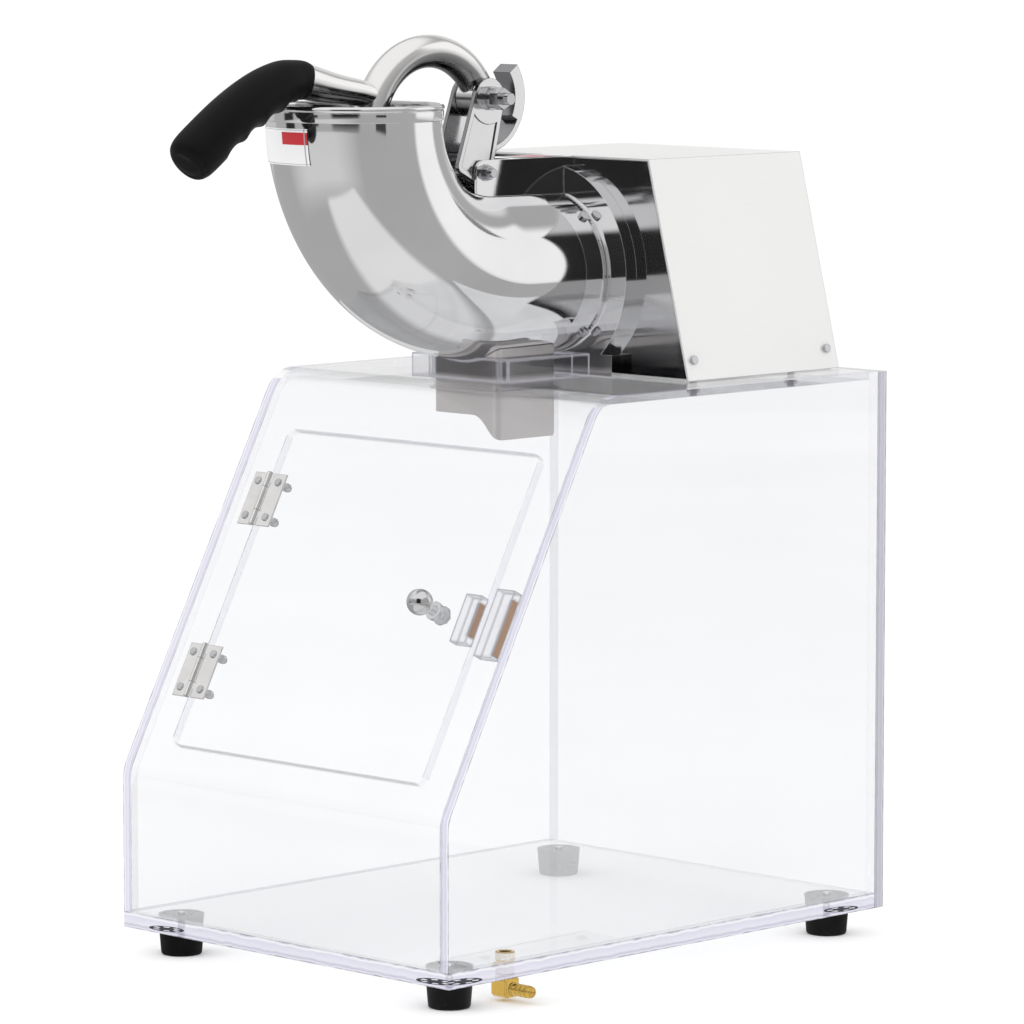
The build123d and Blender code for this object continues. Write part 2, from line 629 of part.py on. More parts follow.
def chute_trim():
    """What the chute's lower end loses: high on the left, curving down to the right wall."""
    low, left, right = CHUTE_LOW - CUT, -CHUTE_HALF - 4 * CUT, CHUTE_HALF + CUT / 2
    first = (CHUTE_CURVE[0][0], CHUTE_STEP)
    curve = Spline(*[(x, CHUTE_STEP + z) for x, z in CHUTE_CURVE], (right, CHUTE_LOW))
    edge = [Line((left, low), (left, CHUTE_STEP)), Line((left, CHUTE_STEP), first), curve,
            Line((right, CHUTE_LOW), (right, low)), Line((right, low), (left, low))]
    cut = make_face(Wire([e.edge() for e in edge]))
    trim = y_extrude(cut, CHUTE_Y0 - CUT, CHUTE_Y1 + CUT)
    back, rise = CHUTE_Y1 + CUT, CHUTE_LOW + CHUTE_NOTCH[1]
    corner = Polyline((CHUTE_Y1 - CHUTE_NOTCH[0], low), (back, low), (back, rise), close=True)
    return trim + side_extrude(make_face(corner), -CHUTE_HALF - CUT, CHUTE_HALF + CUT)


def make_chute(keep_out):
    width, depth = 2 * CHUTE_HALF, CHUTE_Y1 - CHUTE_Y0
    lip_z = CAB_TOP - SHELL_T - CHUTE_LIP_T - SLIP
    chute = rounded_tube(width, depth, CHUTE_R, CHUTE_LOW, CHUTE_TOP)
    chute += rounded_tube(width + 2 * CHUTE_LIP, depth + 2 * CHUTE_LIP, CHUTE_LIP_R, lip_z, lip_z + CHUTE_LIP_T)
    chute -= rounded_tube(width - 2 * WALL, depth - 2 * WALL, CHUTE_R - WALL, CHUTE_LOW - CUT, CHUTE_TOP + CUT)
    parts["ice_chute"] = chute - keep_out - chute_trim()


def make_collar(keep_out):
    """Square acrylic frame on the cabinet top that locates the chute and the barrel."""
    z0, z1 = CAB_TOP - CUT, CAB_TOP + COLLAR_H + CUT
    collar = block(-COLLAR_HALF, COLLAR_HALF, COLLAR_Y0, COLLAR_Y1, CAB_TOP, CAB_TOP + COLLAR_H)
    inner = COLLAR_HALF - COLLAR_T
    collar -= block(-inner, inner, COLLAR_Y0 + COLLAR_T, COLLAR_Y1 - COLLAR_T, z0, z1)
    gap = 2 * SLIP
    collar -= block(-CHUTE_HALF - gap, CHUTE_HALF + gap, CHUTE_Y0 - gap, CHUTE_Y1 + gap, z0, z1)
    parts["chute_collar"] = collar - keep_out


# ---- motor box -----------------------------------------------------------------
def box_section(inset, z0):
    """Trapezoid cross-section of the motor box as an (x, z) face."""
    slope = (COVER_HALF_BOTTOM - COVER_HALF_TOP) / (COVER_TOP - COVER_Z0)
    side = inset * math.hypot(1, slope)
    top = COVER_TOP - inset

    def half(z):
        return COVER_HALF_BOTTOM - slope * (z - COVER_Z0) - side
    pts = [(-half(z0), z0), (half(z0), z0), (half(top), top), (-half(top), top)]
    return make_face(Polyline(*pts, close=True))


def y_extrude(sketch, y0, y1):
    """Extrude an (x, z) sketch along Y."""
    return Pos(0, y1, 0) * extrude(Plane.XZ * sketch, y1 - y0)


def make_motor_box():
    outer = y_extrude(box_section(0, COVER_Z0), COVER_Y0, COVER_Y1)
    inner = y_extrude(box_section(COVER_T, COVER_Z0 - 2 * CUT), COVER_Y0 - CUT, COVER_Y1 + CUT)
    hole = wall_box(SWITCH_L - SWITCH_HOLE_INSET, SWITCH_W - SWITCH_HOLE_INSET, -COVER_T - CUT, CUT)
    parts["motor_cover"] = outer - inner - hole
    plate_section = box_section(COVER_T + SLIP, CAB_TOP + TRAY_T + SLIP)
    y0 = FLANGE_Y1 + SEAT
    plate = y_extrude(plate_section, y0, y0 + FRONT_PLATE_T)
    parts["front_plate"] = plate - rod("y", PLATE_HOLE_R, y0 - CUT, y0 + FRONT_PLATE_T + CUT, 0, AXIS_Z)
    y1 = COVER_Y1 - REAR_SETBACK
    rear = y_extrude(plate_section, y1 - REAR_PANEL_T, y1)
    for k in range(VENT_COUNT):
        z = AXIS_Z + VENT_PITCH * (k - (VENT_COUNT - 1) / 2)
        rear -= block(-VENT_HALF_W, VENT_HALF_W, y1 - 4 * CUT, y1 + CUT, z - VENT_HALF_H, z + VENT_HALF_H)
    rear -= block(*INLET_X, y1 - 4 * CUT, y1 + CUT, *INLET_Z)
    parts["rear_panel"] = rear
    make_tray()
    make_cover_screws()
    make_inlet()


def make_tray():
    """Floor plate of the motor box, bolted through the cabinet top."""
    tray = block(-TRAY_HALF, TRAY_HALF, *TRAY_Y, CAB_TOP + SEAT, CAB_TOP + TRAY_T)
    bolts, nuts = [], []
    low = CAB_TOP - SHELL_T - TRAY_BOLT_TAIL
    for x, y in TRAY_BOLTS:
        tray -= rod("z", TRAY_BOLT_R + RUNNING, CAB_TOP - CUT, CAB_TOP + TRAY_T + CUT, x, y)
        head = Pos(x, y, CAB_TOP + TRAY_T + SEAT) * hex_prism(TRAY_HEX, TRAY_HEAD_H)
        bolts.append(head + rod("z", TRAY_BOLT_R, low, CAB_TOP + TRAY_T + CUT, x, y))
        nut = Pos(x, y, CAB_TOP - SHELL_T - TRAY_NUT_H - SEAT) * hex_prism(TRAY_HEX, TRAY_NUT_H)
        nuts.append(nut - rod("z", TRAY_BOLT_R + SEAT, low, CAB_TOP, x, y))
    parts["machine_tray"] = tray
    parts["tray_bolts"] = group(bolts + nuts)


def wall_plane(side):
    """Plane on the sloping side wall: x along +Y, z outward; side is -1 or +1."""
    run = COVER_HALF_BOTTOM - COVER_HALF_TOP
    rise = COVER_TOP - COVER_Z0
    length = math.hypot(run, rise)
    normal = (side * rise / length, 0, run / length)
    return Plane(origin=(side * COVER_HALF_BOTTOM, 0, COVER_Z0), x_dir=(0, 1, 0), z_dir=normal)


def switch_plane():
    """Plane at the switch's centre on the left wall: x along +Y, y up the wall, z outward."""
    plane = wall_plane(-1)
    if plane.y_dir.Z < 0:
        plane = Plane(origin=plane.origin, x_dir=-plane.x_dir, z_dir=plane.z_dir)
    along = SWITCH_Y if plane.x_dir.Y > 0 else -SWITCH_Y
    return Plane(origin=(plane * Pos(along, SWITCH_UP, 0)).position, x_dir=plane.x_dir, z_dir=plane.z_dir)


def wall_box(length, width, h0, h1):
    """Box on the left wall at the switch's place."""
    return switch_plane() * Pos(0, 0, (h0 + h1) / 2) * Box(length, width, h1 - h0)


def rocker_pin(r, half):
    """Rod through the rocker's pivot, up the wall."""
    return switch_plane() * Rot(90, 0, 0) * Cylinder(r, 2 * half)


def make_switch():
    """Rocker switch in the left wall, the side away from the chute outlet."""
    well_l, well_w, well_depth = SWITCH_WELL
    body = wall_box(SWITCH_L, SWITCH_W, SEAT, SWITCH_BEZEL)
    body += wall_box(SWITCH_L - SWITCH_BODY_INSET, SWITCH_W - SWITCH_BODY_INSET, -SWITCH_BODY_DEPTH, SLIP)
    body -= wall_box(well_l, well_w, -well_depth, SWITCH_BEZEL + CUT)
    pin_half = ROCKER_W / 2 + ROCKER_PIN_L
    parts["switch_body"] = body - rocker_pin(ROCKER_PIN_R + RUNNING, pin_half + SLIP)
    front, ridge, raised = ROCKER_RIDGE
    back = -ROCKER_HALF if switch_plane().x_dir.Y > 0 else ROCKER_HALF
    profile = Polyline((back, ROCKER_LOW), (-back, ROCKER_LOW), (-back, front), (0, ridge), (back, raised),
                       close=True)
    rocker = switch_plane() * Pos(0, ROCKER_W / 2, 0) * extrude(Plane.XZ * make_face(profile), ROCKER_W)
    parts["switch_rocker"] = rocker + rocker_pin(ROCKER_PIN_R, pin_half)


def make_cover_screws():
    head_r, head_top = COVER_SCREW_HEAD
    screws = []
    for side in (-1, 1):
        plane = wall_plane(side)
        sign = 1 if plane.y_dir.Z > 0 else -1
        for y, up in COVER_SCREWS:
            at = plane * Pos(y, sign * up, 0)
            head = at * Pos(0, 0, (head_top + RUNNING) / 2) * Cylinder(head_r, head_top - RUNNING)
            shank = Cylinder(COVER_SCREW_R, COVER_SCREW_TAIL + CUT)
            screws.append(head + at * Pos(0, 0, (CUT - COVER_SCREW_TAIL) / 2) * shank)
            parts["motor_cover"] -= at * Cylinder(COVER_SCREW_R + RUNNING, 2 * COVER_SCREW_TAIL)
    parts["cover_screws"] = group(screws)


def make_inlet():
    """Power inlet socket in the rear panel."""
    x0, x1 = INLET_X
    z0, z1 = INLET_Z
    face = COVER_Y1 - REAR_SETBACK
    lip, wall = INLET_LIP, INLET_WALL
    inlet = block(x0 - lip, x1 + lip, face + SEAT, face + INLET_LIP_T, z0 - lip, z1 + lip)
    inlet += block(x0 + SLIP, x1 - SLIP, face - INLET_DEPTH, face + SLIP, z0 + SLIP, z1 - SLIP)
    inlet -= block(x0 + wall, x1 - wall, face - INLET_DEPTH + 3 * wall, face + lip + CUT, z0 + wall, z1 - wall)
    mid_x, mid_z = (x0 + x1) / 2, (z0 + z1) / 2
    half_x, half_z = INLET_PIN_HALF
    for dx, dz in INLET_PINS:
        x, z = mid_x + dx, mid_z + dz
        inlet += block(x - half_x, x + half_x, COVER_Y1 - INLET_PIN_Y[0], COVER_Y1 - INLET_PIN_Y[1],
                       z - half_z, z + half_z)
    parts["power_inlet"] = inlet


# ---- motor and cutter ------------------------------------------------------------
def ring_y(r_out, r_in, y0, y1):
    return rod("y", r_out, y0, y1, 0, AXIS_Z) - rod("y", r_in, y0 - 1, y1 + 1, 0, AXIS_Z)


def make_motor():
    """Housing, laminated core, end bells with their bearings, and the run capacitor."""
    face = FLANGE_Y1 + FRONT_PLATE_T + RUNNING
    front_y, rear_y = FRONT_BEARING_Y, REAR_BEARING_Y
    parts["motor_housing"] = ring_y(MOTOR_R, MOTOR_R - MOTOR_WALL, MOTOR_Y0, MOTOR_Y1)
    parts["stator_core"] = ring_y(MOTOR_R - MOTOR_WALL - RUNNING, STATOR_BORE_R, *STATOR_Y)
    front = ring_y(MOTOR_R, BELL_HOLE_R, face, MOTOR_Y0 - SEAT)
    front += ring_y(BELL_BOSS_R, BELL_HOLE_R, MOTOR_Y0 - CUT, front_y[1] + CUT)
    parts["front_end_bell"] = front - rod("y", BEARING_R, front_y[0], front_y[1] + 2 * CUT, 0, AXIS_Z)
    rear = ring_y(MOTOR_R, BELL_HOLE_R, MOTOR_Y1 + SEAT, rear_y[1] + 2 * CUT)
    rear += ring_y(BELL_BOSS_R, BELL_HOLE_R, rear_y[0] - CUT, MOTOR_Y1 + CUT)
    parts["rear_end_bell"] = rear - rod("y", BEARING_R, rear_y[0] - 2 * CUT, rear_y[1], 0, AXIS_Z)
    places = ((front_y[0] + SEAT, front_y[1]), (rear_y[0], rear_y[1] - SEAT))
    parts["motor_bearings"] = group(ring_y(BEARING_R - SEAT, SHAFT_R + RUNNING, y0, y1) for y0, y1 in places)
    capacitor_z = CAB_TOP + TRAY_T + CAPACITOR_R + SEAT
    parts["run_capacitor"] = rod("y", CAPACITOR_R, *CAPACITOR_Y, CAPACITOR_X, capacitor_z)


def make_knife(turn):
    """One knife lying over its slot in the disc, with a ground leading edge."""
    face, skew = DISC_Y0 - SEAT, SLIP
    knife = block(*KNIFE_SPAN, DISC_Y0 - KNIFE_T, face, *KNIFE_Z)
    low = (DISC_Y0 - KNIFE_T - skew, KNIFE_Z[0] - skew)
    edge = Polyline(low, (low[0], 0), (DISC_Y0 - KNIFE_T / 4, low[1]), close=True)
    knife -= side_extrude(make_face(edge), KNIFE_SPAN[0] - CUT, KNIFE_SPAN[1] + CUT)
    return turn * knife


def make_cutter():
    back = DISC_Y0 + DISC_T
    shaft = rod("y", SHAFT_R, back, SHAFT_END, 0, AXIS_Z)
    parts["rotor_shaft"] = shaft + rod("y", STUD_R, DISC_Y0 - STUD_L, back, 0, AXIS_Z)
    parts["rotor_core"] = ring_y(ROTOR_R, SHAFT_R + SEAT / 2, *ROTOR_Y)
    disc = ring_y(DISC_R, STUD_R + SEAT, DISC_Y0, back - SEAT)
    knives = []
    for k in range(KNIFE_COUNT):
        turn = Pos(0, 0, AXIS_Z) * Rot(0, 360 / KNIFE_COUNT * k, 0)
        disc -= turn * block(*KNIFE_SPAN, DISC_Y0 - CUT, back + CUT, *KNIFE_SLOT_Z)
        knives.append(make_knife(turn))
    parts["cutter_disc"] = disc
    parts["cutter_knives"] = group(knives)
    nut = Plane(origin=(0, DISC_Y0 - SEAT, AXIS_Z), z_dir=(0, -1, 0)) * hex_prism(*CUTTER_NUT)
    parts["cutter_nut"] = nut - rod("y", STUD_R + SEAT, DISC_Y0 - STUD_L, DISC_Y0 + CUT, 0, AXIS_Z)
    fan = ring_y(FAN_HUB_R, SHAFT_R + SEAT / 2, *FAN_Y)
    blade = Pos(FAN_BLADE_AT, sum(FAN_Y) / 2, 0) * Rot(FAN_PITCH, 0, 0) * Box(*FAN_BLADE)
    for k in range(FAN_BLADES):
        fan += Pos(0, 0, AXIS_Z) * Rot(0, 360 / FAN_BLADES * k, 0) * blade
    parts["cooling_fan"] = fan


# ---- neck, link and press lever ------------------------------------------------
def make_neck(keep_out):
    """Channel over the barrel that carries the lever's lower pivot."""
    corners = [(NECK_Y0, NECK_LOW), (NECK_Y1, NECK_LOW), (NECK_Y1, COVER_TOP), (NECK_Y0, COVER_TOP)]
    side = make_face(Polyline(*corners, close=True))
    front_top = side.vertices().sort_by(lambda v: v.Y - v.X)[-1]
    side = fillet(front_top, NECK_CORNER_R)
    neck = side_extrude(side, NECK_OUT - NECK_T, NECK_OUT) + side_extrude(side, -NECK_OUT, NECK_T - NECK_OUT)
    neck += block(-NECK_OUT, NECK_OUT, NECK_TOP_Y0, NECK_Y1, COVER_TOP - NECK_T, COVER_TOP)
    neck -= keep_out
    gap = 3 * SLIP
    neck -= rod("y", FLANGE_R + gap, FLANGE_Y0 - gap, FLANGE_Y1 + CUT, 0, AXIS_Z)
    parts["neck_bracket"] = neck - rod("x", LOWER_R + RUNNING, -NECK_OUT - CUT, NECK_OUT + CUT, *LOWER)


def hull_of(circles):
    return make_hull([e for c in circles for e in c.edges()])


def link_outline(grow=0.0):
    """Side outline of the link plates as a (y, z) face."""
    return hull_of([
        at_yz(UPPER, Circle(LINK_TOP_R + grow)),
        at_yz(LOWER, Circle(LINK_LOW_R + grow)),
        at_yz(LINK_TOE, Circle(LINK_TOE_R + grow))])


def arc_band(r0, r1, a0, a1):
    """Ring sector round the upper pivot as a (y, z) face."""
    def point(r, a):
        return (UPPER[0] + r * math.cos(math.radians(a)), UPPER[1] + r * math.sin(math.radians(a)))
    mid = (a0 + a1) / 2
    edges = [ThreePointArc(point(r0, a0), point(r0, mid), point(r0, a1)), Line(point(r0, a1), point(r1, a1)),
             ThreePointArc(point(r1, a1), point(r1, mid), point(r1, a0)), Line(point(r1, a0), point(r0, a0))]
    return make_face(Wire([e.edge() for e in edges]))


def make_link():
    """Cast fork between the neck and the arm, with a round guard behind the pivot."""
    plate = link_outline()
    upper_boss, lower_boss = at_yz(UPPER, Circle(LINK_BOSSES[0])), at_yz(LOWER, Circle(LINK_BOSSES[1]))
    panel = link_outline(-LINK_EDGE) - upper_boss - lower_boss
    link = side_extrude(plate, LINK_IN, LINK_OUT) + side_extrude(plate, -LINK_OUT, -LINK_IN)
    link -= side_extrude(panel, LINK_OUT - LINK_RECESS, LINK_OUT + CUT)
    link -= side_extrude(panel, -LINK_OUT - CUT, LINK_RECESS - LINK_OUT)
    web_half = (LINK_IN + LINK_OUT) / 2
    web = hull_of([at_yz(point, Circle(LINK_WEB_R)) for point in LINK_WEB])
    link += side_extrude(web, -web_half, web_half)
    for arc in GUARD_ARCS:
        link += side_extrude(arc_band(*arc), -GUARD_HALF, GUARD_HALF)
    link -= rod("x", UPPER_R + SEAT, -LINK_OUT - CUT, LINK_OUT + CUT, *UPPER)
    link -= rod("x", LOWER_R + RUNNING, -LINK_OUT - CUT, LINK_OUT + CUT, *LOWER)
    parts["link_casting"] = link


def x_hex(across, x0, x1, point):
    return Plane(origin=(x0, *point), z_dir=(1, 0, 0)) * hex_prism(across, x1 - x0)


def make_pivots():
    """Bolts, washers and nuts of the two lever pivots; heads on the left, nuts on the right."""
    link_face, neck_face = LINK_OUT + RUNNING, NECK_OUT + RUNNING
    head_end = -18.6
    bolt = x_hex(UPPER_HEX, head_end, -link_face, UPPER)
    parts["upper_pivot_bolt"] = bolt + rod("x", UPPER_R, -link_face - CUT, 32.0, *UPPER)
    washers = rod("x", 8.0, link_face, 14.6, *UPPER) + rod("x", 6.6, 14.5, 18.0, *UPPER)
    parts["upper_pivot_washers"] = washers - rod("x", UPPER_R + SEAT, 10, 20, *UPPER)
    nut = x_hex(UPPER_HEX, 18.0 + RUNNING, 25.5, UPPER)
    parts["upper_pivot_nut"] = nut - rod("x", UPPER_R + SEAT, 17, 30, *UPPER)
    low = x_hex(LOWER_HEX, head_end, -neck_face, LOWER)
    parts["lower_pivot_bolt"] = low + rod("x", LOWER_R, -neck_face - RUNNING, 22.5, *LOWER)
    nut = rod("x", 5.6, neck_face, 15.6, *LOWER) + x_hex(LOWER_HEX, 15.5, 20.0, LOWER)
    parts["lower_pivot_nut"] = nut - rod("x", LOWER_R + SEAT, 10, 30, *LOWER)


def polar(centre, r, angle):
    a = math.radians(angle)
    return (0, centre[0] + r * math.cos(a), centre[1] + r * math.sin(a))


def push_plane(offset_out):
    """Plane of the pusher's upper face; its x runs across, its y away from the pivot."""
    a = math.radians(180 + PUSH_ANGLE)
    outward = (0, math.cos(a), math.sin(a))
    push_dir = Vector(1, 0, 0).cross(Vector(*outward))
    origin = Vector(0, *UPPER) + Vector(*outward) * PUSH_CENTRE + push_dir * offset_out
    return Plane(origin=origin, x_dir=(1, 0, 0), z_dir=push_dir)


def make_arm():
    """Bent press tube: pivot lug, gooseneck, leg and the pusher plate in the hopper."""
    start, end = polar(ARC_CENTRE, ARC_R, ARC_START), polar(ARC_CENTRE, ARC_R, ARC_END)
    a = math.radians(ARC_END)
    tangent = Vector(0, -math.sin(a), math.cos(a))
    foot = Vector(*end) + tangent * LEG_L
    arc = ThreePointArc(start, polar(ARC_CENTRE, ARC_R, (ARC_START + ARC_END) / 2), end)
    path = Wire([arc.edge(), Line(end, foot).edge()])
    a0 = math.radians(ARC_START)
    first = Plane(origin=start, z_dir=(0, -math.sin(a0), math.cos(a0)))
    tube = sweep(first * Circle(TUBE_R), path)
    tube += rod("x", LUG_R, -LUG_HALF, LUG_HALF, *UPPER)
    wide = NECK_OUT
    cheek = LINK_BOSSES[0]
    tube -= rod("x", cheek, LUG_HALF, wide, *UPPER) + rod("x", cheek, -wide, -LUG_HALF, *UPPER)
    tube -= rod("x", UPPER_R + RUNNING, -wide, wide, *UPPER)
    tube -= extrude(push_plane(0) * Circle(PUSH_HALF_X), PUSH_HALF_X)
    parts["gooseneck_tube"] = tube
    plate = extrude(push_plane(SEAT) * Ellipse(PUSH_HALF_X, PUSH_HALF_R), PUSH_T)
    parts["pusher_plate"] = chamfer(plate.edges(), PUSH_BEVEL)
    make_handle(tube)


def make_handle(gooseneck):
    """Bent handle tube welded to the gooseneck, and the rubber grip pushed over its end."""
    path = Spline(*[(0, y, CAB_BOTTOM + z) for y, z in HANDLE_PATH])
    start = Plane(origin=path @ 0, z_dir=path % 0)
    tube = sweep(start * Circle(HANDLE_R), path)
    parts["handle_tube"] = tube - gooseneck
    sections = []
    count = len(GRIP_PATH)
    for i, (y, z, r) in enumerate(GRIP_PATH):
        y0, z0, _ = GRIP_PATH[max(i - 1, 0)]
        y1, z1, _ = GRIP_PATH[min(i + 1, count - 1)]
        plane = Plane(origin=(0, y, CAB_BOTTOM + z), x_dir=(1, 0, 0), z_dir=(0, y1 - y0, z1 - z0))
        sections.append(plane * Circle(r))
    grip = loft(sections)
    parts["hand_grip"] = grip - sweep(start * Circle(HANDLE_R + SLIP), path)


def main():
    make_cabinet()
    make_feet()
    make_drain()
    make_door()
    make_hopper()
    make_flange()
    around = 0.25
    around_barrel = elbow_sweep(HOPPER_R + around, BARREL_R + around, RIM_TOP, FLANGE_Y0)
    make_chute(around_barrel)
    make_collar(around_barrel)
    make_motor_box()
    make_switch()
    make_motor()
    make_cutter()
    make_neck(around_barrel)
    make_link()
    make_pivots()
    make_arm()
    os.makedirs("parts", exist_ok=True)
    for name, shape in parts.items():
        export_step(shape, f"parts/{name}.step")


main()
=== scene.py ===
import math

import bmesh
import bpy
from mathutils import Matrix, Vector


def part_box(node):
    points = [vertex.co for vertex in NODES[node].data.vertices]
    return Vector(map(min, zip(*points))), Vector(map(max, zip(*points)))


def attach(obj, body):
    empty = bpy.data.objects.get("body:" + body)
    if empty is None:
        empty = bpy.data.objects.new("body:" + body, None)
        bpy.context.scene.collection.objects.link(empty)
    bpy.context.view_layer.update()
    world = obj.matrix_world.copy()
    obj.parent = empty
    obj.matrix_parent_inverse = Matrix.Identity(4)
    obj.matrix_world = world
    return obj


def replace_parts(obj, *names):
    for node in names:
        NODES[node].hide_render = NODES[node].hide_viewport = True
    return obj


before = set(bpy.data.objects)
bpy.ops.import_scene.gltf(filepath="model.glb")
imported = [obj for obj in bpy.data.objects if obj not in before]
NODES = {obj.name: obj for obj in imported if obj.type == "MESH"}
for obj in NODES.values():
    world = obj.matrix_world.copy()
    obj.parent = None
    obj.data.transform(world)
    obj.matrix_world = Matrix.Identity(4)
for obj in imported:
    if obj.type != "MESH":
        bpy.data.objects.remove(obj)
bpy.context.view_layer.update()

MM = 0.001

# ---- sizes of the machine, in millimetres and degrees --------------------------------
CABINET_LOW = 18.5
CABINET_TOP = CABINET_LOW + 372.0
SIDE_INNER = 149.5
SIDE_T = 8.0
BACK_INNER = 201.0
BACK_T = 9.0
BASE_T = 10.8
SHELL_T = 6.0
AXIS_Z = CABINET_LOW + 441.0
HOPPER_Y = -142.3
BEND_Z = CABINET_LOW + 555.0
BEND_R = BEND_Z - AXIS_Z
BEND_Y = HOPPER_Y + BEND_R
HOPPER_R = 58.2
BARREL_R = 55.0
SKIN = 1.5
BARREL_END = 40.0
RIM_TOP = CABINET_LOW + 560.5
RIM_H = 10.8
RIM_R = 59.45
BEAD_R = 2.2
CHUTE_HALF = 29.0
CHUTE_Y = (-38.0, 15.0)
UPPER_PIVOT = (-28.0, CABINET_LOW + 561.0)
GOOSENECK_CENTRE = (-74.5, CABINET_LOW + 538.5)
GOOSENECK_R = 54.8
GOOSENECK_START = 14.0
GOOSENECK_END = 215.0
PUSHER_REACH = 24.5
LUG_BORE = 4.05
LUG_R = 12.9
TUBE_R = 11.0
LUG_HALF = 8.5
SLOPE = Vector((0.0, 0.4731, 0.8810))
SLOPE_OUT = Vector((0.0, -0.8810, 0.4731))
KNEE = Vector((0.0, -210.0, CABINET_LOW + 108.5))
FOOT_X = 130.0
FOOT_Y = 182.5
FOOT_TOP_R = 15.5
DRAIN_DROP = 10.0
HOSE_R = 4.2
HOSE_RIBS = 4
HOSE_RIB_PITCH = 4.2

# ---- press handle: (y, height above the cabinet's underside, radius) along it --------
HANDLE = [(-119.0, 561.5, 10.6), (-124.5, 563.8, 9.2), (-138.3, 567.6, 8.8), (-152.0, 569.8, 9.4),
          (-164.4, 571.8, 10.4), (-176.0, 574.0, 11.4), (-187.0, 576.4, 11.9), (-193.0, 577.2, 11.9)]
GRIP = [(-186.2, 576.4, 11.0), (-188.0, 576.8, 12.6), (-195.0, 577.3, 13.2), (-206.0, 575.4, 15.2),
        (-219.5, 570.3, 16.6), (-231.5, 564.8, 17.0), (-243.8, 558.4, 17.0), (-254.5, 551.9, 17.0),
        (-264.5, 545.1, 17.0), (-273.0, 539.0, 17.0), (-280.6, 533.5, 16.9), (-285.0, 530.2, 16.4),
        (-288.2, 527.7, 15.0), (-289.9, 526.4, 12.4), (-290.6, 525.8, 8.0), (-290.9, 525.6, 2.0)]
GRIP_WAIST = 0.94
FINGER_FIRST = -199.0
FINGER_LAST = -271.0
FINGER_COUNT = 4
FINGER_DEPTH = 0.16

# ---- labels: degrees round the hopper, the rest in millimetres -----------------------
LABEL_FROM = -137.0
LABEL_TO = -75.0
LABEL_HIGH = RIM_TOP - 14.5
LABEL_LOW = RIM_TOP - 38.5
LABEL_LIFT = 0.25
NECK_LABEL_HALF = 11.5
NECK_LABEL_Y = (3.0, 44.0)
NECK_LABEL_LIFT = 0.15

# ---- camera: long lens, a little above the cabinet, front right ----------------------
CAM_AZIMUTH = 45.0
CAM_ELEVATION = 6.49
CAM_DISTANCE = 3.9122
CAM_FOCAL = 202.28
CAM_SHIFT_RIGHT = 0.00343
CAM_TARGET_Z = 0.29746

# ---- acrylic with its painted edge glow, and the feet seen through it, in its edges as a painted image ---
ACRYLIC_IOR = 1.49
# Painted light on the acrylic's edges across the thickness: bright stops are painted glow, dark stops are
# painted shade lines.
PAINTED_EDGE_GLOW = [(0.0, (0.16, 0.15, 0.24)), (0.09, (0.80, 0.79, 0.90)), (0.20, (0.48, 0.47, 0.62)),
             (0.36, (0.78, 0.77, 0.89)), (0.72, (0.68, 0.67, 0.82)), (0.84, (0.98, 0.98, 1.0)),
             (0.93, (0.60, 0.59, 0.72)), (1.0, (0.20, 0.19, 0.27))]
# Radii of the painted image of a foot's top in the base plate's edges.
PAINTED_FOOT_IMAGE_R = (7.4, 12.5, FOOT_TOP_R)
FOOT_RIBS = 6

# ---- studio, in metres and degrees; the tones are linear brightness ------------------
BACKDROP_TONE = 1.08
ROOM_TONE = 0.45
FLOOR_HALF = 30.0
FLOOR_FAR = 3.5
SWEEP_TONE = 0.83
SWEEP_CENTRE = (0.28, -0.36, 0.0)
SWEEP_HALF = (0.38, 0.60)
SWEEP_SOFT = 0.09
BEHIND_Y = 0.26
AISLE_DIRECTION = (-0.035, -0.999, 0.0)
AISLE_LIFT = 0.24
# brightness, azimuth, elevation, half width, half height, softness (tangents of angles)
CARDS = [
    (0.95, 0, 78, 1.4, 1.2, 0.35),
    (1.02, 152, 16, 0.36, 0.45, 0.07),
    (0.75, -150, 20, 0.30, 0.30, 0.10),
    (0.62, -95, 10, 0.35, 0.5, 0.10),
    (0.03, 36, 14, 0.34, 0.42, 0.06),
    (0.03, -45, -5, 0.14, 0.14, 0.03),
    (1.00, -135, 6.5, 0.12, 0.12, 0.04),
    (0.85, -56, 32, 0.25, 0.25, 0.10),
    (0.05, -4, -6, 0.07, 0.03, 0.01),
    (0.05, 82, -6, 0.12, 0.03, 0.01),
]


